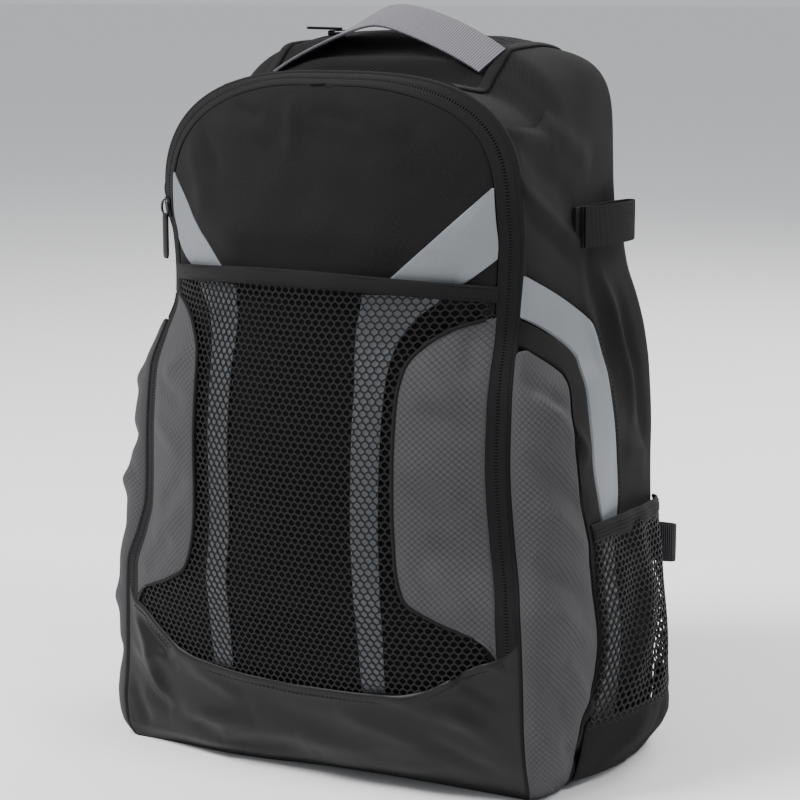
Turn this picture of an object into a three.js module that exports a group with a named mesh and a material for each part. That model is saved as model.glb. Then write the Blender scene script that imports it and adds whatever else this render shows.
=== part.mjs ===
import * as THREE from 'three';

// Baseball bat backpack, in millimetres: +Z is up, -Y is the front, the origin is the middle of the flat base.
// A packed soft bag: an arched front panel with a zip round it, side walls that belly out, a top that steps up
// to the taller main compartment, and a padded back. Every panel is its own closed wall of cloth.

// Driving sizes
const frontHeight = 427;
const bagHeight = 450;
const frontWidth = 284;
const backWidth = 292;
const bagDepth = 193;
const frontBulge = 57;
const sideBulge = 26;
const backCorner = 18;
const clothWall = 2;
const thinCloth = 1.5;
const stripeCloth = 0.9;
const netWall = 1.2;
const seamGap = 0.4;
const turnGap = 2.9;
const layerGap = 0.8;
const zipWidth = 14;
const bindingWidth = 10.5;
const bindingProud = 1;
const bindingThick = 2.4;
const bandHeight = 304.5;
const bandSag = 9;
const bootHeight = 104;
const pocketTuck = 6.4;
const tuckFade = 20;
const topSeam = 78;
const webbingWidth = 25;
const webbingThick = 1.6;
const handleLift = 23;
const handleClear = 1.4;
const backPad = 8;
const backCrown = 7;
const pocketDepth = 20;
const pocketHeight = 163;
const pocketBase = 43;
const pocketLift = 7;
const loopReach = 63;
const loopBulge = 13;
const strapWidth = 62;
const strapPad = 9;
const strapReach = 32;
const baseSkew = 0.08;
const baseBump = 8;
const baseSettle = 60;
const leftSlump = 0.5;

// Places worked out from the sizes
const spring = 0.8 * frontHeight;
const seamFrontY = -0.53 * bagDepth;
const backFaceY = 0.472 * bagDepth;
const heart = new THREE.Vector3(0, 0, bagHeight / 2);

// Turns rows of numbers into rows with named columns.
function columns(names, rows) {
  return rows.map((row) => Object.fromEntries(names.map((name, i) => [name, row[i]])));
}

// A smooth curve through two columns of a table that never overshoots its rows.
function follow(rows, from, to) {
  const x = rows.map((row) => row[from]);
  const y = rows.map((row) => row[to]);
  const rise = x.slice(1).map((value, i) => (y[i + 1] - y[i]) / (value - x[i]));
  const slope = y.map((_, i) => {
    if (i === 0) return rise[0];
    if (i === y.length - 1) return rise[i - 1];
    const product = rise[i - 1] * rise[i];
    return product > 0 ? (2 * product) / (rise[i - 1] + rise[i]) : 0;
  });
  return (value) => {
    const v = Math.min(Math.max(value, x[0]), x[x.length - 1]);
    let i = 0;
    while (i < x.length - 2 && v > x[i + 1]) i += 1;
    const h = x[i + 1] - x[i];
    const t = (v - x[i]) / h;
    const a = (2 * t ** 3 - 3 * t ** 2 + 1) * y[i] + (t ** 3 - 2 * t ** 2 + t) * h * slope[i];
    return a + (3 * t ** 2 - 2 * t ** 3) * y[i + 1] + (t ** 3 - t ** 2) * h * slope[i + 1];
  };
}

const mix = (a, b, t) => a + (b - a) * t;

// The upright shape, a row for each height. height is a share of frontHeight, frontHalf and backHalf are shares of
// half the front and back widths, seamBack is how far the front seam sits back in bagDepth, bulge is how far the
// packed front stands out in frontBulge, and belly and leftBelly are how far the sides stand out in sideBulge.
const uprightRows = columns(
  ['height', 'frontHalf', 'seamBack', 'bulge', 'backHalf', 'belly', 'leftBelly'],
  [
    [0.000, 0.958, 0.053, -0.07, 0.959, 0.35, 0.30],
    [0.028, 0.989, 0.021, 0.18, 0.986, 0.50, 0.45],
    [0.075, 1.000, 0.002, 0.34, 1.000, 0.62, 0.56],
    [0.164, 0.995, 0.001, 0.47, 1.000, 0.69, 0.62],
    [0.270, 0.981, 0.000, 0.59, 0.990, 0.71, 0.64],
    [0.321, 0.949, 0.032, 0.72, 0.983, 0.81, 0.86],
    [0.368, 0.920, 0.048, 0.77, 0.976, 0.93, 1.05],
    [0.468, 0.900, 0.040, 0.75, 0.976, 0.94, 0.84],
    [0.564, 0.893, 0.058, 0.75, 0.969, 0.74, 0.46],
    [0.614, 0.873, 0.105, 0.86, 0.955, 0.42, 0.30],
    [0.665, 0.851, 0.162, 1.00, 0.921, 0.27, 0.22],
    [0.714, 0.856, 0.170, 1.00, 0.870, 0.19, 0.17],
    [0.761, 0.865, 0.167, 0.91, 0.842, 0.15, 0.14],
    [0.800, 0.877, 0.146, 0.77, 0.798, 0.12, 0.12],
    [0.860, 0.877, 0.131, 0.62, 0.842, 0.12, 0.12],
    [0.913, 0.877, 0.125, 0.50, 0.842, 0.12, 0.12],
    [0.949, 0.877, 0.121, 0.41, 0.842, 0.12, 0.12],
    [0.972, 0.877, 0.118, 0.32, 0.842, 0.12, 0.12],
    [0.986, 0.877, 0.116, 0.23, 0.842, 0.12, 0.12],
    [0.993, 0.877, 0.115, 0.15, 0.842, 0.12, 0.12],
    [1.000, 0.877, 0.114, 0.04, 0.842, 0.12, 0.12],
  ],
);
const frontHalfAt = follow(uprightRows, 'height', 'frontHalf');
const seamBackAt = follow(uprightRows, 'height', 'seamBack');
const bulgeAt = follow(uprightRows, 'height', 'bulge');
const backHalfAt = follow(uprightRows, 'height', 'backHalf');
const bellyAt = follow(uprightRows, 'height', 'belly');
const leftBellyAt = follow(uprightRows, 'height', 'leftBelly');

// The roof from front to back. depth is a share of the depth there, rise a share of the step up from frontHeight
// to bagHeight, square is the power of the arch's rounded corners, and crown is how far the top panel stands up
// between its seams, a share of that step.
const roofRows = columns(
  ['depth', 'rise', 'square', 'crown'],
  [
    [0.00, 0.00, 3.15, 0.00],
    [0.10, -0.09, 3.15, 0.00],
    [0.26, -0.22, 3.20, 0.00],
    [0.37, 0.30, 3.30, 0.00],
    [0.49, 0.83, 3.60, 0.06],
    [0.62, 0.78, 4.30, 0.20],
    [0.85, 0.60, 6.20, 0.30],
    [1.00, 0.34, 6.20, 0.20],
  ],
);
const riseAt = follow(roofRows, 'depth', 'rise');
const squareAt = follow(roofRows, 'depth', 'square');
const crownAt = follow(roofRows, 'depth', 'crown');

// How far the back leans forward, a share of bagDepth by a share of bagHeight.
const leanAt = follow(
  columns(['height', 'lean'], [[0, 0.005], [0.13, 0], [0.44, 0.016], [0.76, 0.047], [1, 0.067]]),
  'height',
  'lean',
);

const seamY = (z) => seamFrontY + seamBackAt(z / frontHeight) * bagDepth;
const backY = (z) => backFaceY - leanAt(z / bagHeight) * bagDepth;

// The left shoulder has slumped: its corner is rounder than the right one.
const cornerPower = (side, depth) => squareAt(depth) - (side < 0 ? leftSlump * Math.max(1 - 2 * depth, 0) : 0);

// Half the width of the front panel at a height, with the arch's rounded corners above the springing.
function frontHalf(z, side = 1) {
  const wide = frontHalfAt(Math.min(z, spring) / frontHeight) * frontWidth / 2;
  const up = Math.min(Math.max((z - spring) / (frontHeight - spring), 0), 1);
  const power = cornerPower(side, 0);
  return wide * (1 - up ** power) ** (1 / power);
}

// The packed front, crowned between its seams.
function frontY(x, z) {
  const share = Math.min(Math.abs(x) / Math.max(frontHalf(z, Math.sign(x)), 0.001), 1);
  return seamY(z) - bulgeAt(z / frontHeight) * frontBulge * (1 - share ** 2.4);
}

// The packed base has settled askew: the left foot of the boot stands further forward than the right, and bulges.
function settle(point) {
  const low = Math.max(1 - point.z / baseSettle, 0) ** 2;
  const forward = Math.min(Math.max((backFaceY - point.y) / bagDepth, 0), 1);
  const bump = baseBump * Math.exp(-(((point.x / frontWidth + 0.2) / 0.18) ** 2));
  point.y += (baseSkew * point.x - bump) * low * forward;
  return point;
}

// A point of the side wall and roof. side is -1 left or 1 right, depth 0 at the front seam and 1 at the back, up 0 at
// the floor, 1 at the springing and 2 at the crown. The wall bellies out behind the front seam and turns in at the back.
function bodyPoint(side, depth, up) {
  const turn = Math.max(up - 1, 0) * Math.PI / 2;
  const step = bagHeight - frontHeight;
  const top = frontHeight + riseAt(depth) * step;
  const power = 2 / cornerPower(side, depth);
  const low = Math.min(up, 1) * spring;
  let z = low + (top - spring) * Math.sin(turn) ** power * (up > 1 ? 1 : 0);
  const share = low / frontHeight;
  let half = mix(frontHalfAt(share) * frontWidth / 2, backHalfAt(share) * backWidth / 2, depth);
  const belly = side < 0 ? leftBellyAt(share) : bellyAt(share);
  half += belly * sideBulge * Math.sin(Math.PI * depth ** 0.45);
  const front = seamY(Math.min(z, frontHeight));
  const deep = backY(z) - front;
  const cornerStart = 1 - backCorner / deep;
  const corner = Math.min(Math.max((depth - cornerStart) / (1 - cornerStart), 0), 1);
  const inset = backCorner * (1 - Math.sqrt(1 - corner ** 2));
  const flat = Math.max(Math.cos(turn), 0);
  half -= inset * Math.sqrt(flat);
  z -= up > 1 ? inset * Math.sqrt(Math.sin(turn)) * 0.8 : 0;
  const x = half * flat ** power;
  z += up > 1 ? crownAt(depth) * step * Math.max(1 - (x / topSeam) ** 2, 0) : 0;
  return settle(new THREE.Vector3(side * x, front + deep * depth, z));
}

// The front seam as one line from the left base corner (-1) over the crown (0) to the right base corner (1).
function seamPoint(q) {
  const point = bodyPoint(q < 0 ? -1 : 1, 0, 2 * (1 - Math.abs(q)));
  return new THREE.Vector2(point.x, point.z);
}

// A point of the front at a distance inside the seam, measured over the cloth.
function insidePoint(q, distance) {
  const step = 0.002;
  const along = seamPoint(Math.min(q + step, 1)).sub(seamPoint(Math.max(q - step, -1))).normalize();
  const inward = new THREE.Vector2(along.y, -along.x);
  const point = seamPoint(q);
  const steps = 8;
  for (let i = 0; i < steps; i += 1) {
    const slope = (frontY(point.x + inward.x, point.y + inward.y) - frontY(point.x, point.y));
    point.addScaledVector(inward, distance / steps / Math.sqrt(1 + slope ** 2));
  }
  return point;
}

// A closed wall of cloth over a grid: at(u, v) is its outer face, u and v from 0 to 1. Cells that are open are cut
// through. The wall lies inside its outer face, towards its heart.
function wall(at, cellsU, cellsV, thick, { open = () => false, centre = heart } = {}) {
  const gridU = typeof cellsU === 'number' ? Array.from({ length: cellsU + 1 }, (_, i) => i / cellsU) : cellsU;
  const gridV = typeof cellsV === 'number' ? Array.from({ length: cellsV + 1 }, (_, i) => i / cellsV) : cellsV;
  const countU = gridU.length;
  const countV = gridV.length;
  const step = 0.002;
  const positions = [];
  let outwardSign = 0;
  const points = gridV.map((v) => gridU.map((u) => {
    const point = at(u, v);
    const alongU = at(Math.min(u + step, 1), v).sub(at(Math.max(u - step, 0), v)).normalize();
    const alongV = at(u, Math.min(v + step, 1)).sub(at(u, Math.max(v - step, 0))).normalize();
    const normal = alongU.cross(alongV).normalize();
    outwardSign += normal.dot(point.clone().sub(centre)) > 0 ? 1 : -1;
    return { point, normal, depth: typeof thick === 'function' ? thick(u, v) : thick };
  }));
  const outward = Math.sign(outwardSign);
  points.flat().forEach(({ point }) => positions.push(point.x, point.y, point.z));
  points.flat().forEach(({ point, normal, depth }) => {
    const inner = point.clone().addScaledVector(normal, -outward * depth);
    positions.push(inner.x, inner.y, inner.z);
  });
  const index = [];
  const count = countU * countV;
  const face = (a, b, c, d) => {
    if (outward > 0) index.push(a, b, c, a, c, d);
    else index.push(a, c, b, a, d, c);
  };
  const kept = (i, j) => i >= 0 && j >= 0 && i < countU - 1 && j < countV - 1 && !open(i, j);
  for (let j = 0; j < countV - 1; j += 1) {
    for (let i = 0; i < countU - 1; i += 1) {
      if (!kept(i, j)) continue;
      const a = j * countU + i;
      const b = a + 1;
      const c = b + countU;
      const d = a + countU;
      face(a, b, c, d);
      face(a + count, d + count, c + count, b + count);
      if (!kept(i, j - 1)) face(a, a + count, b + count, b);
      if (!kept(i + 1, j)) face(b, b + count, c + count, c);
      if (!kept(i, j + 1)) face(c, c + count, d + count, d);
      if (!kept(i - 1, j)) face(d, d + count, a + count, a);
    }
  }
  const geometry = new THREE.BufferGeometry();
  geometry.setAttribute('position', new THREE.Float32BufferAttribute(positions, 3));
  geometry.setIndex(index);
  const used = geometry.toNonIndexed();
  used.computeVertexNormals();
  return used;
}

const finishes = {
  black: { color: 0x1c1c1e, roughness: 0.85, metalness: 0 },
  ripstop: { color: 0x56565a, roughness: 0.7, metalness: 0 },
  silver: { color: 0x9aa2a8, roughness: 0.5, metalness: 0.1 },
  net: { color: 0x151516, roughness: 0.8, metalness: 0 },
  coated: { color: 0x2a2a2c, roughness: 0.45, metalness: 0 },
  webbing: { color: 0x8d8e93, roughness: 0.75, metalness: 0 },
  darkWebbing: { color: 0x3a3a3d, roughness: 0.75, metalness: 0 },
  metal: { color: 0x202022, roughness: 0.35, metalness: 0.8 },
};
const bag = new THREE.Group();
function add(name, finish, geometry) {
  const mesh = new THREE.Mesh(geometry, new THREE.MeshStandardMaterial(finishes[finish]));
  mesh.name = name;
  bag.add(mesh);
  return mesh;
}
const sides = [['left', -1], ['right', 1]];

// Edges that the front pieces share
const bootTopAt = follow(
  columns(
    ['across', 'height'],
    [[0, 0.61], [0.35, 0.628], [0.52, 0.65], [0.62, 0.685], [0.72, 0.76], [0.85, 0.865], [0.94, 0.91], [1, 1]],
  ),
  'across',
  'height',
);
const bootTop = (x) => bootTopAt(Math.min(Math.abs(x) / frontHalf(bootHeight), 1)) * bootHeight;
const bandBottom = (x) => bandHeight - bandSag * Math.min(Math.abs(x) / frontHalf(bandHeight), 1) ** 2;
const onFront = (x, z, behind = 0) => settle(new THREE.Vector3(x, frontY(x, z) + behind, z));
const bandTop = (x) => bandBottom(x) + bindingWidth;

// The line q of the seam where a height on it is reached, on the right.
const seamShare = (z) => 1 - z / spring / 2;
const zipInner = (z) => insidePoint(seamShare(z), zipWidth + seamGap).x;

// Front panel: one black cloth from the arch down behind the pocket, tucked back under the pocket's binding.
const tuck = (x, z) => {
  const above = (z - bandTop(x) - 1) / tuckFade;
  return pocketTuck * (1 - Math.min(Math.max(above, 0), 1));
};
{
  const overlap = 8;
  const bandRow = 0.5;
  const bandEnd = bandTop(frontWidth) + 1;
  const rows = [0, 0.08, 0.17, 0.26, 0.35, 0.43, 0.5, 0.57, 0.65, 0.73, 0.81, 0.87, 0.92, 0.96, 0.985, 1];
  add('front_panel', 'black', wall((u, v) => {
    const upper = Math.max(v - bandRow, 0) / (1 - bandRow);
    const lower = Math.min(v / bandRow, 1);
    const endUp = v < bandRow ? mix(bootHeight, bandEnd, lower) / spring : mix(bandEnd / spring, 1.985, upper);
    const left = insidePoint(endUp / 2 - 1, zipWidth + 2.5 * layerGap);
    const right = insidePoint(1 - endUp / 2, zipWidth + 2.5 * layerGap);
    const x = mix(left.x, right.x, u);
    const bandShift = (bandTop(x) + 1 - bandEnd) * (1 - upper) ** 2;
    const bootShift = bootTop(x) - overlap - bootHeight;
    const z = mix(left.y, right.y, u) + (v < bandRow ? mix(bootShift, bandShift, lower) : bandShift);
    return onFront(x, z, tuck(x, z));
  }, 12, rows, clothWall));
}

// Front zip: tape and closed teeth round the panel, an upturned U along the seam from the boot to the boot.
add('front_zip', 'black', wall((u, v) => {
  const start = seamShare(bootTop(frontHalf(bootHeight) - v * zipWidth) + 5 * seamGap);
  const point = insidePoint((2 * u - 1) * start, v * zipWidth);
  return onFront(point.x, point.y);
}, 48, 1, clothWall));

// Zip pull: a ring on the slider with a flat tab, hanging at the left of the arch.
{
  const pullHeight = 0.80 * frontHeight;
  const pullSize = 4.5;
  const tabLength = 28;
  const pullTurn = 0.65;
  const stand = 0.8;
  const point = insidePoint(-seamShare(pullHeight), zipWidth / 2);
  const seat = onFront(point.x, point.y);
  const shape = new THREE.Shape();
  shape.absarc(0, 0, pullSize, 0, Math.PI);
  shape.lineTo(-pullSize * 0.6, -tabLength);
  shape.lineTo(pullSize * 0.6, -tabLength);
  shape.closePath();
  const hole = new THREE.Path();
  hole.absarc(0, 0, pullSize * 0.5, 0, 2 * Math.PI, true);
  shape.holes.push(hole);
  const geometry = new THREE.ExtrudeGeometry(shape, { depth: 2, bevelEnabled: false, curveSegments: 8 });
  const pull = add('zip_pull', 'metal', geometry);
  pull.rotation.order = 'ZXY';
  pull.rotation.set(Math.PI / 2, 0, -pullTurn);
  pull.position.set(seat.x - stand * Math.sin(pullTurn), seat.y - stand * Math.cos(pullTurn), seat.z);
}

// Pocket binding: the black band along the mouth of the front pocket.
add('pocket_binding', 'black', wall((u, v) => {
  const end = mix(bandBottom(frontWidth), bandTop(frontWidth), v);
  const x = (2 * u - 1) * insidePoint(seamShare(end), zipWidth + layerGap).x;
  return onFront(x, bandBottom(x) + v * bindingWidth, -bindingProud);
}, 14, 1, bindingThick));

// The inner edge of a grey front panel, from the zip under the binding, round its waist and out to the zip again.
// across is a share of half of frontWidth and height a share of frontHeight.
const ripstopRows = columns(
  ['across', 'height'],
  [
    [0.775, 0.676], [0.665, 0.664], [0.560, 0.638], [0.505, 0.608], [0.490, 0.560],
    [0.488, 0.430], [0.500, 0.350], [0.540, 0.297], [0.660, 0.270], [0.870, 0.242],
  ],
);
const ripstopCells = ripstopRows.length - 1;
const ripstopEdge = (u) => {
  const place = u * ripstopCells;
  const i = Math.min(Math.floor(place), ripstopCells - 1);
  const across = mix(ripstopRows[i].across, ripstopRows[i + 1].across, place - i);
  const height = mix(ripstopRows[i].height, ripstopRows[i + 1].height, place - i);
  return new THREE.Vector2(across * frontWidth / 2, height * frontHeight);
};
const ripstopKnots = Array.from({ length: ripstopCells + 1 }, (_, i) => Math.min(Math.max(i / ripstopCells, 0.02), 0.98));
for (const [word, side] of sides) {
  const top = ripstopRows[0].height * frontHeight;
  const foot = bootTop(frontWidth / 2 - zipWidth) + 6 * seamGap;
  add(`front_ripstop_${word}`, 'ripstop', wall((u, v) => {
    const edge = ripstopEdge(u);
    const outer = insidePoint(seamShare(mix(top, foot, u)), zipWidth + layerGap);
    return onFront(side * mix(edge.x + layerGap, outer.x, v), mix(edge.y, outer.y, v));
  }, ripstopKnots, 5, thinCloth));
}

// Rows of thin bars with gaps between them, for a net: pairs of lines round each place.
const bars = (places, half) => places.flatMap((place) => [Math.max(place - half, 0), Math.min(place + half, 1)]);
const evenPlaces = (gaps) => Array.from({ length: gaps + 1 }, (_, i) => i / gaps);
const netGap = { open: (i, j) => i % 2 === 1 && j % 2 === 1 };

// Front pocket net: between the grey panels, from the binding down to the boot, cut through in rows of gaps.
{
  const top = 1 / (ripstopCells + 2);
  const foot = 1 - top;
  const places = evenPlaces(ripstopCells + 2);
  const edgeAt = (v) => {
    const first = ripstopEdge(0);
    const last = ripstopEdge(1);
    if (v < top) {
      return new THREE.Vector2(mix(zipInner(bandBottom(frontWidth)), first.x, v / top), mix(bandBottom(frontWidth), first.y, v / top));
    }
    if (v > foot) {
      const share = (v - foot) / (1 - foot);
      return new THREE.Vector2(last.x, mix(last.y, bootTop(last.x), share));
    }
    return ripstopEdge((v - top) / (foot - top));
  };
  add('front_net', 'net', wall((u, v) => {
    const edge = edgeAt(v);
    const share = 2 * u - 1;
    const x = share * (edge.x - 1.5 * layerGap);
    const middle = mix(bandHeight, bootTop(0), v);
    const z = edge.y + (middle - edge.y) * (1 - share ** 2) ** 0.9;
    return onFront(x, Math.min(Math.max(z, bootTop(x) + layerGap), bandBottom(x) - 2.5 * layerGap));
  }, bars(evenPlaces(6), 0.012), bars(places, 0.009), netWall, netGap));
}

// Silver stripes on the panel behind the net, flared towards the binding. inner and outer are shares of half of
// frontWidth, height a share of frontHeight.
const frontStripeRows = columns(
  ['height', 'inner', 'outer'],
  [
    [0.150, 0.328, 0.433], [0.268, 0.324, 0.440], [0.386, 0.306, 0.425], [0.486, 0.310, 0.430],
    [0.585, 0.310, 0.436], [0.625, 0.300, 0.450], [0.660, 0.298, 0.490], [0.685, 0.308, 0.555], [0.700, 0.315, 0.610],
  ],
);
const frontStripeInner = follow(frontStripeRows, 'height', 'inner');
const frontStripeOuter = follow(frontStripeRows, 'height', 'outer');
for (const [word, side] of sides) {
  add(`front_stripe_${word}`, 'silver', wall((u, v) => {
    const low = bootTop(0.43 * frontWidth / 2) + 1;
    const high = bandBottom(0.6 * frontWidth / 2) - 1;
    const z = mix(low, high, v);
    const share = z / frontHeight;
    const x = mix(frontStripeInner(share), frontStripeOuter(share), u) * frontWidth / 2;
    return onFront(side * x, z, pocketTuck - 3.3 * layerGap - stripeCloth);
  }, 2, 12, stripeCloth));
}

// Silver corner flashes above the binding, sewn flat on the front panel with their points up the zip.
for (const [word, side] of sides) {
  const tip = 0.855 * frontHeight;
  const cutTop = 0.756 * frontHeight;
  const innerFoot = 0.415 * frontWidth / 2;
  const cutFoot = 0.680 * frontWidth / 2;
  const lift = layerGap + stripeCloth;
  add(`front_flash_${word}`, 'silver', wall((u, v) => {
    const along = mix(0.04, 1, v);
    const foot = (x) => bandTop(x) + layerGap;
    const tipX = zipInner(tip) - layerGap;
    const inner = new THREE.Vector2(mix(tipX, innerFoot, along), mix(tip, foot(innerFoot), along));
    const bend = 0.62;
    const cutX = zipInner(cutTop) - 2 * layerGap;
    const outer = along < bend
      ? new THREE.Vector2(mix(tipX, cutX, along / bend), mix(tip, cutTop, along / bend))
      : new THREE.Vector2(
        mix(cutX, cutFoot, (along - bend) / (1 - bend)),
        mix(cutTop, foot(cutFoot), (along - bend) / (1 - bend)),
      );
    const x = mix(inner.x, outer.x, u);
    const z = Math.max(mix(inner.y, outer.y, u), foot(x));
    return onFront(side * x, z, tuck(x, z) - lift);
  }, 4, 8, stripeCloth));
}

// Boot: the coated lower front, turned under to the floor.
add('base_front', 'coated', wall((u, v) => {
  const share = 2 * u - 1;
  const top = bootTop(share * frontHalf(bootHeight)) - seamGap / 2;
  const z = top * v ** 1.6;
  return onFront(share * frontHalf(z), z);
}, 20, 6, clothWall));

// Side pieces are laid out in shares: depth from the front seam to the back, up from the floor to the springing.
// The wall's own grid runs in the square root of depth, because the wall turns fastest behind the front seam.
const onBody = (side, depth, up, out = 0) => {
  const point = bodyPoint(side, depth, up);
  if (out === 0) return point;
  const step = 0.01;
  const low = Math.max(depth - step, 0);
  const back = bodyPoint(side, Math.min(depth + step, 1), up).sub(bodyPoint(side, low, up));
  const rise = bodyPoint(side, depth, Math.min(up + step, 2)).sub(bodyPoint(side, depth, Math.max(up - step, 0)));
  const normal = back.cross(rise).normalize().multiplyScalar(side);
  return point.addScaledVector(normal, out);
};

// The share of depth at which the wall is turnGap away from its front seam.
function wallStart(up) {
  const seam = bodyPoint(1, 0, up);
  let near = 0;
  let far = 0.05;
  for (let i = 0; i < 18; i += 1) {
    const middle = (near + far) / 2;
    if (bodyPoint(1, middle, up).distanceTo(seam) < turnGap) near = middle;
    else far = middle;
  }
  return far;
}

// Where the seam between the top panel and a side panel runs, as a share up the body.
function topSeamUp(depth, across, side = 1) {
  let low = 1;
  let high = 2;
  for (let i = 0; i < 24; i += 1) {
    const middle = (low + high) / 2;
    if (Math.abs(bodyPoint(side, depth, middle).x) > across) low = middle;
    else high = middle;
  }
  return high;
}

// Edges of the side pieces from the front seam round the bend and down to the floor. A row is one place along all
// four: the grey panel's edge, the stripe's two edges, and the far edge of the black panel, whose up of 3 stands for
// the top seam.
const sideRows = columns(
  [
    'greyDepth', 'greyUp', 'innerDepth', 'innerUp', 'outerDepth', 'outerUp', 'farDepth', 'farUp',
  ],
  [
    [0.000, 0.797, 0.000, 0.842, 0.000, 0.919, 0.00, 3],
    [0.040, 0.786, 0.045, 0.833, 0.090, 0.902, 0.10, 3],
    [0.090, 0.774, 0.095, 0.823, 0.192, 0.883, 0.20, 3],
    [0.150, 0.758, 0.200, 0.799, 0.320, 0.855, 0.30, 3],
    [0.190, 0.743, 0.280, 0.778, 0.425, 0.828, 0.40, 3],
    [0.200, 0.728, 0.312, 0.762, 0.480, 0.802, 0.52, 3],
    [0.194, 0.710, 0.312, 0.740, 0.503, 0.772, 0.75, 3],
    [0.186, 0.680, 0.308, 0.700, 0.512, 0.730, 1.00, 3],
    [0.184, 0.640, 0.302, 0.650, 0.515, 0.680, 1.00, 1.45],
    [0.196, 0.584, 0.305, 0.590, 0.518, 0.620, 1.00, 1.20],
    [0.223, 0.497, 0.345, 0.500, 0.533, 0.520, 1.00, 1.00],
    [0.262, 0.420, 0.372, 0.425, 0.488, 0.425, 1.00, 0.78],
    [0.325, 0.330, 0.420, 0.330, 0.535, 0.330, 1.00, 0.55],
    [0.342, 0.270, 0.438, 0.262, 0.558, 0.250, 1.00, 0.38],
    [0.315, 0.210, 0.400, 0.190, 0.545, 0.170, 1.00, 0.22],
    [0.220, 0.135, 0.300, 0.110, 0.515, 0.080, 1.00, 0.09],
    [0.150, 0.000, 0.230, 0.000, 0.480, 0.000, 1.00, 0.00],
  ],
);
const sideEdge = (side, edge, u) => {
  const place = u * (sideRows.length - 1);
  const i = Math.min(Math.floor(place), sideRows.length - 2);
  const pick = (row) => {
    const depth = row[`${edge}Depth`];
    const up = row[`${edge}Up`];
    return new THREE.Vector2(Math.sqrt(depth), up === 3 ? topSeamUp(depth, topSeam + layerGap / 2, side) : up);
  };
  return pick(sideRows[i]).lerp(pick(sideRows[i + 1]), place - i);
};
const sidePiece = (side, from, to, gapFrom, gapTo) => (u, v) => {
  const a = sideEdge(side, from, u);
  const b = sideEdge(side, to, u);
  const length = Math.max(onBody(1, a.x ** 2, a.y).distanceTo(onBody(1, b.x ** 2, b.y)), 0.001);
  const place = a.lerp(b, mix(gapFrom / length, 1 - gapTo / length, v));
  const depth = Math.min(Math.max(place.x, 0) ** 2, 1);
  return onBody(side, Math.max(depth, wallStart(place.y)), place.y);
};
const sideCells = sideRows.length - 1;
const rearTurn = [0, 0.16, 0.32, 0.48, 0.64, 0.77, 0.87, 0.95, 1];
const ripstopTurn = 4;
for (const [word, side] of sides) {
  const half = seamGap / 2;
  add(`side_panel_${word}`, 'black', wall(sidePiece(side, 'outer', 'far', half, 0), sideCells, rearTurn, clothWall));
  add(`side_stripe_${word}`, 'silver', wall(sidePiece(side, 'inner', 'outer', half, half), sideCells, 2, clothWall));
  add(`side_band_${word}`, 'black', wall(sidePiece(side, 'grey', 'inner', half, half), sideCells, 1, clothWall));
  const first = 1 / sideCells;
  add(`side_ripstop_${word}`, 'ripstop', wall((u, v) => {
    const along = mix(first, 1, u);
    const edge = sideEdge(side, 'grey', along);
    const seamUp = mix(sideRows[0].greyUp - 0.02, 0, u);
    const depth = mix(Math.sqrt(wallStart(seamUp)), edge.x - 0.002, v) ** 2;
    const up = mix(seamUp, edge.y - half / spring, v);
    return onBody(side, depth, Math.max(up, 0));
  }, sideCells - 1, ripstopTurn, clothWall));
}

// Boot floor: the flat coated bottom that the bag stands on, just inside the walls.
{
  const inset = clothWall + layerGap;
  const frontSteps = 20;
  const foot = sideRows[sideCells];
  const across = [foot.greyDepth, foot.innerDepth, foot.outerDepth, foot.farDepth].map(Math.sqrt);
  const places = [
    ...Array.from({ length: ripstopTurn }, (_, i) => across[0] * (i + 1) / ripstopTurn),
    across[1],
    (across[1] + across[2]) / 2,
    ...rearTurn.map((share) => mix(across[2], across[3], share)),
  ].map((place) => place ** 2);
  const ring = [];
  for (let i = 0; i <= frontSteps; i += 1) ring.push(onFront(mix(-1, 1, i / frontSteps) * frontHalf(0), 0));
  places.forEach((depth) => ring.push(bodyPoint(1, depth, 0)));
  places.slice().reverse().forEach((depth) => ring.push(bodyPoint(-1, depth, 0)));
  const rear = backY(0) - backPad - layerGap;
  const shape = new THREE.Shape(ring.map((point, i) => {
    const before = ring[(i + ring.length - 1) % ring.length];
    const after = ring[(i + 1) % ring.length];
    const along = after.clone().sub(before).normalize();
    return new THREE.Vector2(point.x - along.y * inset, Math.min(point.y + along.x * inset, rear));
  }));
  add('base_floor', 'coated', new THREE.ExtrudeGeometry(shape, { depth: clothWall, bevelEnabled: false }));
}

// Roof: the top panel from the arch up to the ridge, the main zip along the ridge, and the panel behind it.
const roof = (fromDepth, toDepth, fromGap, toGap) => (u, v) => {
  const share = 2 * u - 1;
  const depth = mix(fromDepth, toDepth, v);
  const deep = backY(bagHeight) - seamY(frontHeight);
  const placed = Math.min(Math.max(depth, fromDepth + fromGap / deep), toDepth - toGap / deep);
  const side = share < 0 ? -1 : 1;
  const seam = topSeamUp(placed, topSeam - layerGap / 2, side);
  const up = 2 - Math.abs(share) ** 1.2 * (2 - seam);
  return bodyPoint(side, placed, up);
};
const zipFront = 0.56;
const zipBack = zipFront + zipWidth / (0.8 * bagDepth);
add('top_panel', 'black', wall(roof(0, zipFront, turnGap, seamGap), 8, 12, clothWall));
add('main_zip', 'black', wall(roof(zipFront, zipBack, 0, 0), 8, 1, clothWall));
add('top_rear_panel', 'black', wall(roof(zipBack, 1, seamGap, 0), 8, 6, clothWall));

// Top seam bindings: a folded strip over each seam between the top panel and the side panel.
const stripWidth = 6;
for (const [word, side] of sides) {
  add(`top_binding_${word}`, 'black', wall((u, v) => {
    const depth = mix(0.20, 0.93, u);
    const up = topSeamUp(depth, topSeam + (v - 0.5) * stripWidth, side);
    return onBody(side, depth, up, 2.3 * layerGap + netWall);
  }, 12, 1, netWall));
}

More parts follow.
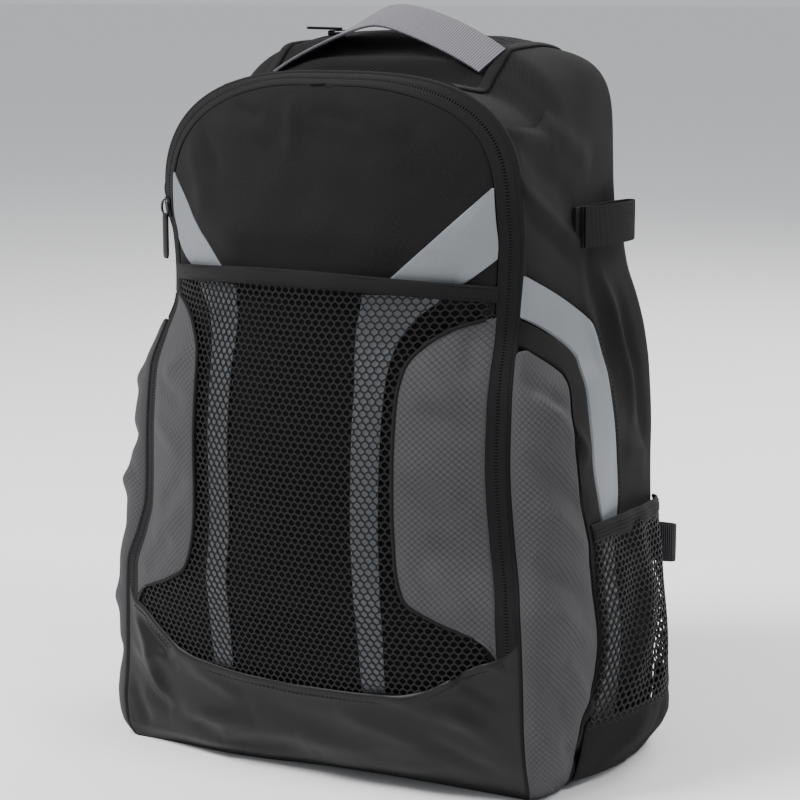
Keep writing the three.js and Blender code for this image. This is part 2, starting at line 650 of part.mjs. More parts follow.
// Main zip slider and its pull, at the left end of the ridge.
{
  const seat = bodyPoint(-1, (zipFront + zipBack) / 2, topSeamUp(0.6, 52, -1));
  const slider = new THREE.ExtrudeGeometry(
    new THREE.Shape([[-6, 0], [-4, 3], [4, 3], [6, 0]].map(([x, y]) => new THREE.Vector2(x, y))),
    { depth: 8, bevelEnabled: false },
  );
  const mesh = add('main_zip_slider', 'metal', slider);
  mesh.rotation.set(Math.PI / 2, 0, 0);
  mesh.position.set(seat.x, seat.y + 4, seat.z + 0.8);
}

// Haul handle: webbing sewn into the two top seams, bowed up between them, its width lying up the slope.
{
  const lowDepth = 0.33;
  const highDepth = 0.47;
  const bend = 0.15;
  const bow = (share) => 1 - (Math.hypot(share, bend) - bend) / (Math.hypot(1, bend) - bend);
  add('haul_handle', 'webbing', wall((u, v) => {
    const share = 2 * u - 1;
    const x = share * (topSeam - stripWidth / 2 - seamGap);
    const side = x < 0 ? -1 : 1;
    const low = bodyPoint(side, lowDepth, topSeamUp(lowDepth, Math.abs(x), side));
    const high = bodyPoint(side, highDepth, topSeamUp(highDepth, Math.abs(x), side));
    const wide = high.sub(low).setX(0).normalize().multiplyScalar(v * webbingWidth);
    return low.add(wide).add(new THREE.Vector3(0, 0, webbingThick + handleClear + handleLift * bow(share)));
  }, 16, 1, webbingThick));
}

// Padded back between the rear edges of the walls, crowned towards the wearer and thin at its seam.
const backTop = 1.97;
const backFace = (share, up) => {
  const left = bodyPoint(-1, 1, up);
  const right = bodyPoint(1, 1, up);
  const across = (share + 1) / 2;
  const crown = backCrown * (1 - share ** 4) * Math.sin(Math.PI * up / backTop) ** 0.5;
  const x = mix(left.x + layerGap, right.x - layerGap, across);
  const z = mix(left.z, right.z, across) - (up > 1 ? layerGap : 0);
  return new THREE.Vector3(x, backY(z) + crown, z);
};
const backUps = sideRows.filter((row) => row.farDepth === 1)
  .map((row) => (row.farUp === 3 ? topSeamUp(1, topSeam) : row.farUp))
  .reverse();
const backRowsUp = [...backUps, mix(backUps[backUps.length - 1], backTop, 0.5), backTop].map((up) => up / backTop);
add('back_panel', 'black', wall(
  (u, v) => backFace(2 * u - 1, v * backTop),
  8,
  backRowsUp,
  (u, v) => (u === 0 || u === 1 || v === 1 ? clothWall : backPad),
));

// Side pockets: an elastic binding, a net wall and a cloth foot that stand off the side wall. across is the share of
// depth along the pocket from its front seam to the back corner.
const pocketFrontAt = follow(
  columns(['up', 'depth'], [[0, 0.17], [0.12, 0.235], [0.27, 0.350], [0.36, 0.320], [0.48, 0.250]]),
  'up',
  'depth',
);
const pocketRear = 0.955;
const pocketOut = (across, z) => {
  const swell = Math.sin(Math.PI * across ** 1.25) ** 0.8;
  const low = Math.min(z / (0.6 * pocketBase), 1);
  const gather = Math.max(z - pocketBase, 0) / (pocketHeight - pocketBase);
  return layerGap + netWall + pocketDepth * swell * (0.35 + 0.65 * low) * (1 - 0.65 * gather);
};
const pocketPoint = (side, across, z) => {
  const depth = mix(pocketFrontAt(z / spring), pocketRear, across);
  return onBody(side, depth, z / spring, pocketOut(across, z));
};
const pocketTop = (across) => pocketHeight - bindingWidth + 10 * across * (1 - across) - 8 * across;
for (const [word, side] of sides) {
  add(`pocket_elastic_${word}`, 'black', wall(
    (u, v) => pocketPoint(side, u, pocketTop(u) + v * bindingWidth),
    8, 1, netWall,
  ));
  add(`pocket_net_${word}`, 'net', wall(
    (u, v) => pocketPoint(side, u, mix(pocketBase + seamGap, pocketTop(u) - seamGap, v)),
    bars(evenPlaces(4), 0.025), bars(evenPlaces(6), 0.02), netWall, netGap,
  ));
  add(`pocket_foot_${word}`, 'black', wall(
    (u, v) => pocketPoint(side, u, mix(pocketLift, pocketBase, v)),
    8, 3, netWall,
  ));
}

// A folded band's two legs lie this far from its middle line, side by side where they are sewn down.
const fold = (turn) => (webbingThick + seamGap / 2) * Math.sin(turn) / Math.hypot(Math.sin(turn), 0.08);

// Bat loops: webbing sewn to the side wall at its front and folded back on itself, for a bat's handle.
for (const [word, side] of sides) {
  const centreUp = 0.98;
  const frontDepth = 0.46;
  const anchor = bodyPoint(1, frontDepth, centreUp);
  const centre = new THREE.Vector3(side * (anchor.x + loopBulge / 2), anchor.y + loopReach / 2, anchor.z);
  add(`bat_loop_${word}`, 'black', wall((u, v) => {
    const turn = mix(0.03, 0.97, u) * 2 * Math.PI;
    const along = (1 - Math.cos(turn)) / 2;
    const open = (loopBulge / 2 - webbingThick) * Math.sin(turn) * along ** 0.5;
    const out = loopBulge / 2 - fold(turn) - open + 2 * webbingThick - seamGap;
    const x = anchor.x + out - 0.95 - loopBulge * 0.275 * (1 - along) ** 2;
    const z = anchor.z + (v - 0.5) * webbingWidth;
    return new THREE.Vector3(side * x, anchor.y + along * loopReach, z);
  }, 16, 1, webbingThick, { centre }));
}

// Shoulder straps: padded upper, webbing lower and a plain buckle between them, down the wearer's side.
const strapRows = columns(
  ['along', 'across', 'off', 'height'],
  [
    [0.00, 0.26, -0.05, 0.93],
    [0.15, 0.30, 0.45, 0.90],
    [0.40, 0.36, 0.95, 0.76],
    [0.70, 0.43, 1.00, 0.58],
    [1.00, 0.52, 0.80, 0.41],
  ],
);
const strapAcross = follow(strapRows, 'along', 'across');
const strapOff = follow(strapRows, 'along', 'off');
const strapHeight = follow(strapRows, 'along', 'height');
const strapPoint = (side, along, wide) => {
  const z = strapHeight(along) * bagHeight;
  const x = strapAcross(along) * frontWidth / 2;
  const tilt = Math.atan2(
    (strapAcross(Math.min(along + 0.02, 1)) - strapAcross(Math.max(along - 0.02, 0))) * frontWidth / 2,
    (strapHeight(Math.max(along - 0.02, 0)) - strapHeight(Math.min(along + 0.02, 1))) * bagHeight,
  );
  const y = backY(z) + backCrown + seamGap + strapPad + strapOff(along) * strapReach;
  return new THREE.Vector3(side * (x + wide * Math.cos(tilt)), y, z + wide * Math.sin(tilt));
};
for (const [word, side] of sides) {
  add(`shoulder_strap_${word}`, 'black', wall((u, v) => {
    const taper = 1 - 0.35 * Math.max((u - 0.7) / 0.3, 0) ** 2;
    return strapPoint(side, u, (v - 0.5) * strapWidth * taper);
  }, 14, 2, strapPad));
  const end = strapPoint(side, 1, 0);
  const foot = backFace(0.80, 0.40);
  foot.x *= side;
  foot.y += seamGap + webbingThick + 1;
  const buckle = new THREE.Shape();
  const buckleHalf = webbingWidth / 2 + 4;
  buckle.moveTo(-buckleHalf, -14);
  buckle.lineTo(buckleHalf, -14);
  buckle.lineTo(buckleHalf, 0);
  buckle.lineTo(-buckleHalf, 0);
  buckle.closePath();
  const block = new THREE.ExtrudeGeometry(buckle, { depth: 5, bevelEnabled: false });
  const mesh = add(`strap_buckle_${word}`, 'metal', block);
  mesh.rotation.set(Math.PI / 2, 0, 0);
  mesh.position.set(end.x, end.y - 1, end.z - 6);
  add(`strap_webbing_${word}`, 'darkWebbing', wall((u, v) => {
    const start = new THREE.Vector3(end.x, end.y - 3, end.z - 6 - 14 - 4 * seamGap);
    const point = start.lerp(foot, u);
    const wide = (v - 0.5) * webbingWidth;
    return point.add(new THREE.Vector3(side * wide * (1 - 0.1 * u), 0, wide * 0.4 * u));
  }, 10, 1, webbingThick));
  const loopFoot = bodyPoint(1, 1, 0.355);
  add(`strap_anchor_${word}`, 'darkWebbing', wall((u, v) => {
    const turn = mix(0.04, 0.96, u) * 2 * Math.PI;
    const along = (1 - Math.cos(turn)) / 2;
    const x = loopFoot.x - 4 + 30 * along;
    const y = loopFoot.y + 2.75 + 3 * along - fold(turn) - (0.9 + 1.5 * along) * Math.sin(turn);
    return new THREE.Vector3(side * x, y, loopFoot.z + (v - 0.5) * webbingWidth);
  }, 16, 1, webbingThick, {
    centre: new THREE.Vector3(side * (loopFoot.x + 11), loopFoot.y + 3.7, loopFoot.z),
  }));
}

export default bag;
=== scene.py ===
import bpy
import numpy as np
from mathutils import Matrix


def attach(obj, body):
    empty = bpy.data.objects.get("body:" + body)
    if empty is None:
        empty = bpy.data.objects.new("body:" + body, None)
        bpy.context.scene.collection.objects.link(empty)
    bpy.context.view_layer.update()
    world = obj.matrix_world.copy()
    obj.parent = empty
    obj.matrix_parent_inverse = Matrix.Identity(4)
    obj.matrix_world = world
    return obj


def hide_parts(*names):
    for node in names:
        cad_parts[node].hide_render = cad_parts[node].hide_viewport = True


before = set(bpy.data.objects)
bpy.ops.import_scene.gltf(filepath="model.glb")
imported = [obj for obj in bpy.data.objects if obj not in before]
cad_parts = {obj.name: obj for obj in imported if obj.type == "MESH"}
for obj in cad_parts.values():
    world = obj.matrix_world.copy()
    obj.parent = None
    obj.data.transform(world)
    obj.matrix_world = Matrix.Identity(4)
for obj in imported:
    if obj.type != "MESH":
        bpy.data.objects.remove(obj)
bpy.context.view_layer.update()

# Front panel
# One black cloth from the arch down behind the front pocket. The bag's whole packed form is worked out
# here, as every panel is cut to it: an arched front, bellied walls and a roof that steps up to the back.
FRONT_HEIGHT, BAG_HEIGHT, FRONT_WIDTH, BACK_WIDTH, BAG_DEPTH = 427.0, 450.0, 284.0, 292.0, 193.0
FRONT_BULGE, SIDE_BULGE, BACK_CORNER, ZIP_WIDTH = 57.0, 26.0, 18.0, 14.0
CLOTH, BINDING_WIDTH, BAND_HEIGHT, BAND_SAG, BOOT_HEIGHT = 1.6, 10.5, 304.5, 9.0, 104.0
POCKET_TUCK, TUCK_FADE, TOP_SEAM, LEFT_SLUMP = 5.0, 20.0, 78.0, 0.5
BASE_SKEW, BASE_BUMP, BASE_SETTLE = 0.08, 8.0, 60.0
SPRING = 0.8 * FRONT_HEIGHT
SEAM_FRONT, BACK_FACE = -0.53 * BAG_DEPTH, 0.472 * BAG_DEPTH
HEART = np.array([0.0, 0.0, BAG_HEIGHT / 2])
CROWN_UP = 1.9995
BLACK = (0.0072, 0.0067, 0.0073)


def follow(x, y):
    """A smooth curve through points that never overshoots: cubic Hermite with harmonic mean slopes."""
    x, y = np.array(x, float), np.array(y, float)
    h = np.diff(x)
    rise = np.diff(y) / h
    product = rise[:-1] * rise[1:]
    middle = np.where(product > 0, 2 * product / np.where(product > 0, rise[:-1] + rise[1:], 1), 0)
    slope = np.concatenate([rise[:1], middle, rise[-1:]])

    def curve(value):
        v = np.clip(value, x[0], x[-1])
        i = np.clip(np.searchsorted(x, v, side="right") - 1, 0, len(x) - 2)
        t = (v - x[i]) / h[i]
        first = (2 * t**3 - 3 * t**2 + 1) * y[i] + (t**3 - 2 * t**2 + t) * h[i] * slope[i]
        return first + (3 * t**2 - 2 * t**3) * y[i + 1] + (t**3 - t**2) * h[i] * slope[i + 1]

    return curve


# height, half front, seam back, bulge, half back, right belly, left belly
UPRIGHT = np.array([
    [0.000, 0.958, 0.053, -0.07, 0.959, 0.35, 0.30], [0.028, 0.989, 0.021, 0.18, 0.986, 0.50, 0.45],
    [0.075, 1.000, 0.002, 0.34, 1.000, 0.62, 0.56], [0.164, 0.995, 0.001, 0.47, 1.000, 0.69, 0.62],
    [0.270, 0.981, 0.000, 0.59, 0.990, 0.71, 0.64], [0.321, 0.949, 0.032, 0.72, 0.983, 0.81, 0.86],
    [0.368, 0.920, 0.048, 0.77, 0.976, 0.93, 1.05], [0.468, 0.900, 0.040, 0.75, 0.976, 0.94, 0.84],
    [0.564, 0.893, 0.058, 0.75, 0.969, 0.74, 0.46], [0.614, 0.873, 0.105, 0.86, 0.955, 0.42, 0.30],
    [0.665, 0.851, 0.162, 1.00, 0.921, 0.27, 0.22], [0.714, 0.856, 0.170, 1.00, 0.870, 0.19, 0.17],
    [0.761, 0.865, 0.167, 0.91, 0.842, 0.15, 0.14], [0.800, 0.877, 0.146, 0.77, 0.798, 0.12, 0.12],
    [0.860, 0.877, 0.131, 0.62, 0.842, 0.12, 0.12], [0.913, 0.877, 0.125, 0.50, 0.842, 0.12, 0.12],
    [0.949, 0.877, 0.121, 0.41, 0.842, 0.12, 0.12], [0.972, 0.877, 0.118, 0.32, 0.842, 0.12, 0.12],
    [0.986, 0.877, 0.116, 0.23, 0.842, 0.12, 0.12], [0.993, 0.877, 0.115, 0.15, 0.842, 0.12, 0.12],
    [1.000, 0.877, 0.114, 0.04, 0.842, 0.12, 0.12],
])
front_half_at, seam_back_at, bulge_at, back_half_at, belly_at, left_belly_at = (
    follow(UPRIGHT[:, 0], UPRIGHT[:, k]) for k in range(1, 7))
# depth, rise, square, crown
ROOF = np.array([
    [0.00, 0.00, 3.15, 0.00], [0.10, -0.09, 3.15, 0.00], [0.26, -0.22, 3.20, 0.00],
    [0.37, 0.30, 3.30, 0.00], [0.49, 0.83, 3.60, 0.06], [0.62, 0.78, 4.30, 0.20],
    [0.85, 0.60, 6.20, 0.30], [1.00, 0.34, 6.20, 0.20],
])
rise_at, square_at, crown_at = (follow(ROOF[:, 0], ROOF[:, k]) for k in range(1, 4))
lean_at = follow([0, 0.13, 0.44, 0.76, 1], [0.005, 0, 0.016, 0.047, 0.067])


def seam_y(z):
    return SEAM_FRONT + seam_back_at(z / FRONT_HEIGHT) * BAG_DEPTH


def back_y(z):
    return BACK_FACE - lean_at(z / BAG_HEIGHT) * BAG_DEPTH


def corner_power(side, depth):
    return square_at(depth) - np.where(side < 0, LEFT_SLUMP * np.maximum(1 - 2 * depth, 0), 0)


def front_half(z, side=1):
    """Half the front's width at a height, with the arch's rounded corners above the springing."""
    wide = front_half_at(np.minimum(z, SPRING) / FRONT_HEIGHT) * FRONT_WIDTH / 2
    up = np.clip((z - SPRING) / (FRONT_HEIGHT - SPRING), 0, 1)
    power = corner_power(side, 0)
    return wide * (1 - up**power) ** (1 / power)


def front_y(x, z):
    """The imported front: the seam's y less a crown of share to the power 2.4 between the seams."""
    share = np.minimum(np.abs(x) / np.maximum(front_half(z, np.sign(x)), 1e-3), 1)
    return seam_y(z) - bulge_at(z / FRONT_HEIGHT) * FRONT_BULGE * (1 - share**2.4)


def settle(p):
    """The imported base's left foot stands further forward and bulges: y moves by a skew and a bell."""
    low = np.maximum(1 - p[..., 2] / BASE_SETTLE, 0) ** 2
    forward = np.clip((BACK_FACE - p[..., 1]) / BAG_DEPTH, 0, 1)
    bump = BASE_BUMP * np.exp(-(((p[..., 0] / FRONT_WIDTH + 0.2) / 0.18) ** 2))
    p[..., 1] += (BASE_SKEW * p[..., 0] - bump) * low * forward
    return p


def body_point(side, depth, up):
    """A point of the wall and roof: a straight wall up to the springing, then a superellipse arch."""
    side, depth, up = np.broadcast_arrays(side, depth, up)
    side, depth, up = side * 1.0, depth * 1.0, up * 1.0
    turn = np.clip(up - 1, 0, 1) * np.pi / 2
    step = BAG_HEIGHT - FRONT_HEIGHT
    top = FRONT_HEIGHT + rise_at(depth) * step
    power = 2 / corner_power(side, depth)
    low = np.minimum(up, 1) * SPRING
    z = low + np.where(up > 1, (top - SPRING) * np.sin(turn) ** power, 0)
    share = low / FRONT_HEIGHT
    from_front = (1 - depth) * front_half_at(share) * FRONT_WIDTH / 2
    half = from_front + depth * back_half_at(share) * BACK_WIDTH / 2
    belly = np.where(side < 0, left_belly_at(share), belly_at(share))
    half = half + belly * SIDE_BULGE * np.sin(np.pi * depth**0.45)
    front = seam_y(np.minimum(z, FRONT_HEIGHT))
    deep = back_y(z) - front
    start = 1 - BACK_CORNER / deep
    corner = np.clip((depth - start) / (1 - start), 0, 1)
    inset = BACK_CORNER * (1 - np.sqrt(1 - corner**2))
    flat = np.clip(np.cos(turn), 0, 1)
    half = half - inset * np.sqrt(flat)
    z = z - np.where(up > 1, inset * np.sqrt(np.sin(turn)) * 0.8, 0)
    x = half * flat**power
    z = z + np.where(up > 1, crown_at(depth) * step * np.maximum(1 - (x / TOP_SEAM) ** 2, 0), 0)
    return settle(np.stack([side * x, front + deep * depth, z], -1))


def inside_point(q, distance):
    """A point of the front inside its seam, stepping square to the seam line by lengths over the cloth."""
    q = np.asarray(q, float)

    def seam(r):
        return body_point(np.where(r < 0, -1, 1), 0, 2 * (1 - np.abs(r)))[..., [0, 2]]

    along = seam(np.minimum(q + 0.002, 1)) - seam(np.maximum(q - 0.002, -1))
    along /= np.linalg.norm(along, axis=-1, keepdims=True)
    inward = np.stack([along[..., 1], -along[..., 0]], -1)
    point = seam(q)
    for _ in range(8):
        slope = front_y(point[..., 0] + inward[..., 0], point[..., 1] + inward[..., 1]) - front_y(
            point[..., 0], point[..., 1])
        point = point + inward * (np.asarray(distance) / 8 / np.sqrt(1 + slope**2))[..., None]
    return point


def seam_share(z):
    """Where on the front seam, 1 at the right foot and 0 at the crown, a height is reached."""
    return 1 - z / SPRING / 2


boot_top_at = follow([0, 0.35, 0.52, 0.62, 0.72, 0.85, 0.94, 1],
                     [0.61, 0.628, 0.65, 0.685, 0.76, 0.865, 0.91, 1])


def boot_top(x):
    return boot_top_at(np.minimum(np.abs(x) / front_half(BOOT_HEIGHT), 1)) * BOOT_HEIGHT


def band_bottom(x):
    return BAND_HEIGHT - BAND_SAG * np.minimum(np.abs(x) / front_half(BAND_HEIGHT), 1) ** 2


def band_top(x):
    return band_bottom(x) + BINDING_WIDTH


def ridges(a, b, table):
    """Folds of cloth: each row is a fold line (a0, b0) to (a1, b1), its half width and its height. The
    height falls off as a bell across the line and dies away at its ends."""
    out = np.zeros(np.broadcast(a, b).shape)
    for a0, b0, a1, b1, wide, high in table:
        da, db = a1 - a0, b1 - b0
        length = da**2 + db**2
        t = ((a - a0) * da + (b - b0) * db) / length
        away = np.hypot(a - a0 - np.clip(t, 0, 1) * da, b - b0 - np.clip(t, 0, 1) * db)
        out += high * np.exp(-((away / wide) ** 2)) * np.clip(4 * t * (1 - t) + 0.25, 0, 1)
    return out


def front_at(x, z, out=0.0):
    """The front surface moved out along its normal, which comes from the slopes of front_y."""
    x, z = np.broadcast_arrays(np.asarray(x, float), np.asarray(z, float))
    h = 0.5
    slope_x = (front_y(x + h, z) - front_y(x - h, z)) / (2 * h)
    slope_z = (front_y(x, z + h) - front_y(x, z - h)) / (2 * h)
    normal = np.stack([slope_x, -np.ones_like(x), slope_z], -1)
    normal /= np.linalg.norm(normal, axis=-1, keepdims=True)
    return settle(np.stack([x, front_y(x, z), z], -1) + normal * np.asarray(out)[..., None])


def weave_wander(a, b, size):
    """Slow unevenness of packed cloth: a few sine waves that cross at different angles."""
    slow = np.sin(a / 13 + 1.3 * np.sin(b / 31)) * np.sin(b / 17 + 0.7)
    return size * (slow + 0.5 * np.sin(a / 7 - b / 11))


class Wire:
    """One value inside a material. Plain arithmetic on it adds Math nodes."""

    def __init__(self, board, socket):
        self.board, self.socket = board, socket

    def math(self, how, *others):
        return self.board.node("ShaderNodeMath", {"operation": how}, (self, *others))

    def __add__(self, other):
        return self.math("ADD", other)

    def __sub__(self, other):
        return self.math("SUBTRACT", other)

    def __rsub__(self, other):
        return self.board.node("ShaderNodeMath", {"operation": "SUBTRACT"}, (other, self))

    def __mul__(self, other):
        return self.math("MULTIPLY", other)

    def __truediv__(self, other):
        return self.math("DIVIDE", other)

    __radd__, __rmul__ = __add__, __mul__

    def wave(self, pitch):
        return (self * (2 * np.pi / pitch)).math("SINE")

    def line(self, pitch, width):
        """1 on thin lines every pitch, 0 between them."""
        near = ((self / pitch).math("FRACT") - 0.5).math("ABSOLUTE") * pitch
        return ((near * -1 + width / 2) / (width / 3)).math("MAXIMUM", 0).math("MINIMUM", 1)


class Board:
    """A material's node tree, with one method for any node."""

    def __init__(self, name):
        self.material = bpy.data.materials.new(name)
        self.material.use_nodes = True
        self.tree = self.material.node_tree
        self.shader = self.tree.nodes["Principled BSDF"]

    def node(self, kind, settings, sockets=(), output=0):
        made = self.tree.nodes.new(kind)
        for key, value in settings.items():
            setattr(made, key, value)
        named = sockets if isinstance(sockets, dict) else dict(enumerate(sockets))
        for key, value in named.items():
            if isinstance(value, Wire):
                self.tree.links.new(value.socket, made.inputs[key])
            else:
                made.inputs[key].default_value = value
        return Wire(self, made.outputs[output])

    def mix(self, mask, low, high):
        """A colour between two, by a mask."""
        tint = [c if isinstance(c, Wire) else (*c, 1) for c in (low, high)]
        return self.node("ShaderNodeMix", {"data_type": "RGBA"}, {0: mask, 6: tint[0], 7: tint[1]}, 2)

    def across(self):
        """The cloth's own two directions in millimetres, from its UV map."""
        place = self.node("ShaderNodeUVMap", {"uv_map": "cloth"})
        split = self.node("ShaderNodeSeparateXYZ", {}, (place,))
        return split, Wire(self, split.socket.node.outputs["Y"])

    def cloud(self, size, detail=3.0):
        """Soft noise in the object's own space, for unevenness and fine grain."""
        place = self.node("ShaderNodeTexCoord", {}, output=3)
        return self.node("ShaderNodeTexNoise", {}, {"Vector": place, "Scale": size, "Detail": detail})

    def finish(self, colour, rough, bump=None, lift=0.0002, sheen=0.0, metal=0.0, coat=0.0, shine=0.14):
        """Sets the shader's colour, roughness, bump and constants, and gives back the material."""
        for key, value in (("Base Color", colour), ("Roughness", rough)):
            if isinstance(value, Wire):
                self.tree.links.new(value.socket, self.shader.inputs[key])
            else:
                self.shader.inputs[key].default_value = (*value, 1) if key == "Base Color" else value
        if bump is not None:
            made = self.node("ShaderNodeBump", {}, {"Height": bump, "Distance": lift, "Strength": 1.0})
            self.tree.links.new(made.socket, self.shader.inputs["Normal"])
        for key, value in (("Sheen Weight", sheen), ("Metallic", metal), ("Coat Weight", coat),
                           ("Specular IOR Level", shine)):
            self.shader.inputs[key].default_value = value
        return self.material


def woven(name, colour, pitch, rough=0.9, sheen=0.02, share=0.4, lift=0.00025):
    """Plain woven cloth: two crossed sine waves make the threads, a slow noise makes it uneven."""
    board = Board(name)
    u, v = board.across()
    threads = u.wave(pitch) * v.wave(pitch) * 0.5 + 0.5
    uneven = board.cloud(38.0) * 0.5 + 0.25
    dark = tuple(c * (1 - share) for c in colour)
    light = tuple(min(c * (1 + share), 1) for c in colour)
    return board.finish(board.mix(threads * 0.75 + uneven * 0.35, dark, light), rough, threads, lift, sheen)


def put_mesh(name, verts, faces, uv, material, nodes=(), angle=50):
    """Puts arrays in millimetres in a mesh, turns it outwards by its volume's sign, and registers it."""
    verts, faces = np.asarray(verts, float), np.asarray(faces)
    a, b, c, d = (verts[faces[:, k]] for k in range(4))
    volume = np.einsum("ij,ij->i", a, np.cross(b, c)).sum() + np.einsum("ij,ij->i", a, np.cross(c, d)).sum()
    if volume < 0:
        faces = faces[:, ::-1]
    mesh = bpy.data.meshes.new(name)
    mesh.from_pydata((verts / 1000).tolist(), [], faces.tolist())
    if uv is not None:
        layer = mesh.uv_layers.new(name="cloth")
        corners = np.empty(len(mesh.loops), np.int32)
        mesh.loops.foreach_get("vertex_index", corners)
        layer.data.foreach_set("uv", np.asarray(uv, float)[corners].ravel())
    mesh.polygons.foreach_set("use_smooth", np.ones(len(mesh.polygons), bool))
    mesh.set_sharp_from_angle(angle=np.radians(angle))
    mesh.materials.append(material)
    piece = bpy.data.objects.new(name, mesh)
    bpy.context.scene.collection.objects.link(piece)
    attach(piece, "root")
    if nodes:
        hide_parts(*nodes)
    return piece


def cloth(name, p, uv, thick, material, nodes=(), roll=0.35):
    """A closed wall of cloth over a grid of points: an outer and an inner sheet, joined round the rim,
    with the outer rim rolled in by a share of the thickness."""
    rows, columns = p.shape[:2]
    normal = np.cross(np.gradient(p, axis=1), np.gradient(p, axis=0))
    normal /= np.maximum(np.linalg.norm(normal, axis=-1, keepdims=True), 1e-9)
    if (normal * (p - HEART)).sum() < 0:
        normal = -normal
    rim = np.zeros((rows, columns))
    rim[[0, -1], :] = 1
    rim[:, [0, -1]] = 1
    outer = p - normal * (rim * roll * thick)[..., None]
    inner = p - normal * thick
    index = np.arange(rows * columns).reshape(rows, columns)
    under = index + rows * columns
    front = np.stack([index[:-1, :-1], index[:-1, 1:], index[1:, 1:], index[1:, :-1]], -1).reshape(-1, 4)
    back = np.stack([under[:-1, :-1], under[1:, :-1], under[1:, 1:], under[:-1, 1:]], -1).reshape(-1, 4)
    ring = np.concatenate([index[0, :-1], index[:-1, -1], index[-1, :0:-1], index[:0:-1, 0]])
    after = np.roll(ring, -1)
    wall = np.stack([ring, ring + rows * columns, after + rows * columns, after], -1)
    verts = np.concatenate([outer.reshape(-1, 3), inner.reshape(-1, 3)])
    return put_mesh(name, verts, np.concatenate([front, back, wall]), np.tile(uv.reshape(-1, 2), (2, 1)),
                    material, nodes)


def grid(columns, rows):
    """Shares across and up a piece, a point for each column and row."""
    return np.meshgrid(np.linspace(0, 1, columns), np.linspace(0, 1, rows))


def tuck(x, z):
    """How far the panel lies back behind the pocket: fully below the band, not at all beside the zip."""
    beside = np.clip((front_half(z, np.sign(x)) - 14 - np.abs(x)) / 14, 0, 1)
    return POCKET_TUCK * (1 - np.clip((z - band_top(x) + 2) / TUCK_FADE, 0, 1)) * beside


black_cloth = woven("black cloth", BLACK, 1.5, share=0.5, lift=0.0004)
# x0, z0, x1, z1, half width, height
FRONT_FOLDS = [
    (-74, 400, -26, 388, 6, 2.2), (-62, 409, -34, 401, 4, -1.8), (-16, 413, -8, 378, 5, 1.8),
    (22, 414, 64, 392, 6, 1.8), (0, 406, 34, 400, 5, -1.8), (-98, 388, -72, 346, 8, 2.2),
    (-90, 398, -62, 366, 5, -1.6), (-40, 322, 44, 328, 12, -2.2), (62, 376, 100, 350, 10, -2.0),
    (70, 396, 100, 372, 6, 1.6), (8, 352, 62, 325, 12, 2.0), (-88, 350, -40, 326, 10, 2.0),
    (-30, 366, 30, 374, 16, 1.4), (-8, 396, 44, 380, 9, -1.4),
]
end_band = float(band_top(FRONT_WIDTH)) + 1
u, v = grid(120, 160)
upper = np.clip((v - 0.4) / 0.6, 0, 1)
lower = np.clip(v / 0.4, 0, 1)
end_up = np.where(v < 0.4, BOOT_HEIGHT + (end_band - BOOT_HEIGHT) * lower,
                  end_band + (1.99 * SPRING - end_band) * upper) / SPRING
left, right = inside_point(end_up / 2 - 1, ZIP_WIDTH + 0.3), inside_point(1 - end_up / 2, ZIP_WIDTH + 0.3)
x = left[..., 0] + (right[..., 0] - left[..., 0]) * u
shift_band = (band_top(x) + 1 - end_band) * (1 - upper) ** 2
shift_boot = boot_top(x) - 8 - BOOT_HEIGHT
z = left[..., 1] + (right[..., 1] - left[..., 1]) * u
z = z + np.where(v < 0.4, shift_boot + (shift_band - shift_boot) * lower, shift_band)
edge_fade = np.clip(1.06 - np.abs(2 * u - 1) ** 6, 0, 1)
folds = (ridges(x, z, FRONT_FOLDS) + weave_wander(x, z, 0.25)) * edge_fade
cloth("front_cloth", front_at(x, z, folds - tuck(x, z)), np.stack([x, z], -1), CLOTH, black_cloth,
      ["front_panel"])

# Front zip
# A reversed coil zip in an upturned U round the front: two woven tapes that meet over the hidden coil, with
# a ladder of coil stitches showing along the middle. It is sewn into the arch seam, which is piped.


def sweep(name, path, out, profile, material, nodes=(), scale=None, close=False, angle=50):
    """A closed profile carried along a path: pairs (across, out), with across square to path and out."""
    along = np.gradient(path, axis=0) if not close else np.roll(path, -1, 0) - np.roll(path, 1, 0)
    along /= np.linalg.norm(along, axis=-1, keepdims=True)
    across = np.cross(along, out)
    across /= np.linalg.norm(across, axis=-1, keepdims=True)
    out = np.cross(across, along)
    scale = np.ones((len(path), 2)) if scale is None else scale
    profile = np.asarray(profile, float)
    count, ring = len(path), len(profile)
    verts = path[:, None] + across[:, None] * (profile[None, :, :1] * scale[:, None, :1]) + out[:, None] * (
        profile[None, :, 1:] * scale[:, None, 1:])
    step = np.linalg.norm(np.diff(path, axis=0), axis=-1)
    far = np.concatenate([[0], np.cumsum(step)])
    round_way = np.concatenate([[0], np.cumsum(np.linalg.norm(np.diff(profile, axis=0), axis=-1))])
    uv = np.stack(np.broadcast_arrays(round_way[None, :], far[:, None]), -1)
    index = np.arange(count * ring).reshape(count, ring)
    after = np.roll(index, -1, 0) if close else index[1:]
    here = index if close else index[:-1]
    faces = np.stack([here, np.roll(here, -1, 1), np.roll(after, -1, 1), after], -1).reshape(-1, 4)
    verts, uv = verts.reshape(-1, 3), uv.reshape(-1, 2)
    if not close:
        middle = np.stack([verts[index[0]].mean(0), verts[index[-1]].mean(0)])
        a, b = len(verts), len(verts) + 1
        verts, uv = np.concatenate([verts, middle]), np.concatenate([uv, uv[[0, -1]]])
        first, last = index[0], index[-1]
        pairs = np.arange(0, ring, 2)
        near, mid, nxt = pairs, (pairs + 1) % ring, (pairs + 2) % ring
        cap_a = np.stack([np.full(len(pairs), a), first[nxt], first[mid], first[near]], -1)
        cap_b = np.stack([np.full(len(pairs), b), last[near], last[mid], last[nxt]], -1)
        faces = np.concatenate([faces, cap_a, cap_b])
    return put_mesh(name, verts, faces, uv, material, nodes, angle)


